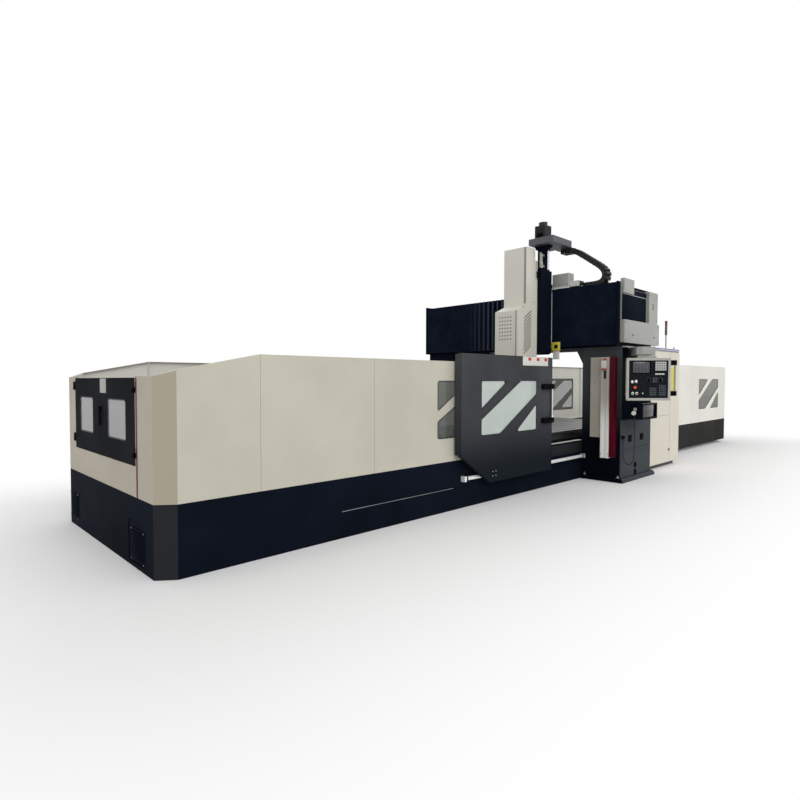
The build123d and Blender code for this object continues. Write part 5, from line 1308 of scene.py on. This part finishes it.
class MILL_OT_studio(bpy.types.Operator):
    """Sets the pale floor, the even light and the camera at the photographed angle"""

    bl_idname = "mill.studio"
    bl_label = "Studio"

    def execute(self, context):
        settings = context.scene.mill_studio
        self.floor(settings)
        self.world(settings)
        sun = bpy.data.lights.new("key", "SUN")
        sun.energy = settings.key_strength
        sun.angle = math.radians(50)
        lamp = bpy.data.objects.new("key", sun)
        lamp.rotation_euler = Vector((-0.25, -0.85, 0.75)).to_track_quat("Z", "Y").to_euler()
        context.scene.collection.objects.link(lamp)
        camera_data = bpy.data.cameras.new("camera")
        camera_data.sensor_fit = "HORIZONTAL"
        camera_data.sensor_width = SENSOR_WIDTH
        camera_data.lens = FOCAL_LENGTH / PICTURE_WIDTH * SENSOR_WIDTH
        camera_data.shift_x = (PICTURE_WIDTH / 2 - PICTURE_CENTRE[0]) / PICTURE_WIDTH
        camera_data.shift_y = -(PICTURE_WIDTH / 2 - PICTURE_CENTRE[1]) / PICTURE_WIDTH
        camera_data.clip_end = 200
        camera = bpy.data.objects.new("camera", camera_data)
        camera.location = CAMERA_PLACE
        camera.rotation_euler = (math.radians(90 - CAMERA_DIP), 0, math.radians(-CAMERA_TURN))
        context.scene.collection.objects.link(camera)
        context.scene.camera = camera
        context.scene.view_settings.view_transform = "Standard"
        return {"FINISHED"}

    def floor(self, settings):
        """A wide pale floor that fades to the backdrop's white away from the machine."""
        bm = bmesh.new()
        bmesh.ops.create_grid(bm, x_segments=1, y_segments=1, size=60)
        bmesh.ops.translate(bm, vec=(0, 0, -0.0005), verts=bm.verts)
        mesh = bpy.data.meshes.new("studio_floor")
        bm.to_mesh(mesh)
        bm.free()
        material, tree, place = start("matte_studio_floor")
        paint = {"Base Color": (0.93, 0.93, 0.93, 1), "Roughness": 0.9, "Specular IOR Level": 0.1}
        paint = add(tree, "BsdfPrincipled", paint)
        half = add(tree, "VectorMath", {0: place}, operation="ABSOLUTE")
        outside = {0: half, 1: (7.5, 1.8, 0.0)}
        outside = add(tree, "VectorMath", outside, operation="SUBTRACT")
        outside = add(tree, "VectorMath", {0: outside}, operation="MAXIMUM")
        away = add(tree, "VectorMath", {0: outside}, operation="LENGTH")
        fade = {"Value": away, "From Min": 0.1, "From Max": 3.0}
        fade = add(tree, "MapRange", fade, interpolation_type="SMOOTHSTEP")
        seen = add(tree, "LightPath").outputs["Is Camera Ray"]
        share = add(tree, "Math", {0: fade, 1: seen}, operation="MULTIPLY")
        glow = {"Color": list(settings.background), "Strength": 1.0}
        glow = add(tree, "Emission", glow)
        mix = add(tree, "MixShader", {0: share, 1: paint, 2: glow})
        add(tree, "OutputMaterial", {"Surface": mix})
        mesh.materials.append(material)
        floor = bpy.data.objects.new("studio_floor", mesh)
        bpy.context.scene.collection.objects.link(floor)

    def world(self, settings):
        """Even light from all round, seen as plain white by the camera, in metal and through glass."""
        world = bpy.data.worlds.new("studio")
        world.use_nodes = True
        tree = world.node_tree
        tree.nodes.clear()
        rays = add(tree, "LightPath").outputs
        seen = {0: rays["Is Camera Ray"], 1: rays["Is Glossy Ray"]}
        seen = add(tree, "Math", seen, operation="MAXIMUM")
        seen = {0: seen, 1: rays["Is Transmission Ray"]}
        seen = add(tree, "Math", seen, operation="MAXIMUM")
        colour = list(settings.background)
        lit = add(tree, "Background", {"Color": colour, "Strength": settings.sky_strength})
        plain = add(tree, "Background", {"Color": colour, "Strength": 1.0})
        mix = add(tree, "MixShader", {0: seen, 1: lit, 2: plain})
        add(tree, "OutputWorld", {"Surface": mix})
        bpy.context.scene.world = world


class MILL_PT_panel(bpy.types.Panel):
    """Lists the steps that dress the machine"""

    bl_idname = "MILL_PT_panel"
    bl_label = "Milling machine"
    bl_space_type = "VIEW_3D"
    bl_region_type = "UI"
    bl_category = "Mill"

    def draw(self, context):
        for group in (context.scene.mill_finish, context.scene.mill_studio):
            for name in group.__annotations__:
                self.layout.prop(group, name)
        for step in STEPS:
            self.layout.operator(step.bl_idname)


STEPS = (
    MILL_OT_studio, MILL_OT_finishes, MILL_OT_handwheel_cord, MILL_OT_folded_covers, MILL_OT_cable_chain,
    MILL_OT_window_seals, MILL_OT_door_fittings, MILL_OT_gantry_fittings, MILL_OT_carriage_fittings,
    MILL_OT_head_fittings, MILL_OT_pendant_controls, MILL_OT_arm_cover, MILL_OT_operator_station,
    MILL_OT_cabinet_fittings, MILL_OT_end_fittings, MILL_OT_jamb_fittings,
)
CLASSES = (MillFinishSettings, MillStudioSettings, *STEPS, MILL_PT_panel)


def register():
    for entry in CLASSES:
        bpy.utils.register_class(entry)
    bpy.types.Scene.mill_finish = bpy.props.PointerProperty(type=MillFinishSettings)
    bpy.types.Scene.mill_studio = bpy.props.PointerProperty(type=MillStudioSettings)


def unregister():
    del bpy.types.Scene.mill_studio
    del bpy.types.Scene.mill_finish
    for entry in reversed(CLASSES):
        bpy.utils.unregister_class(entry)


def main():
    register()
    for step in STEPS:
        group, name = step.bl_idname.split(".")
        getattr(getattr(bpy.ops, group), name)()


if __name__ == "__main__":
    main()
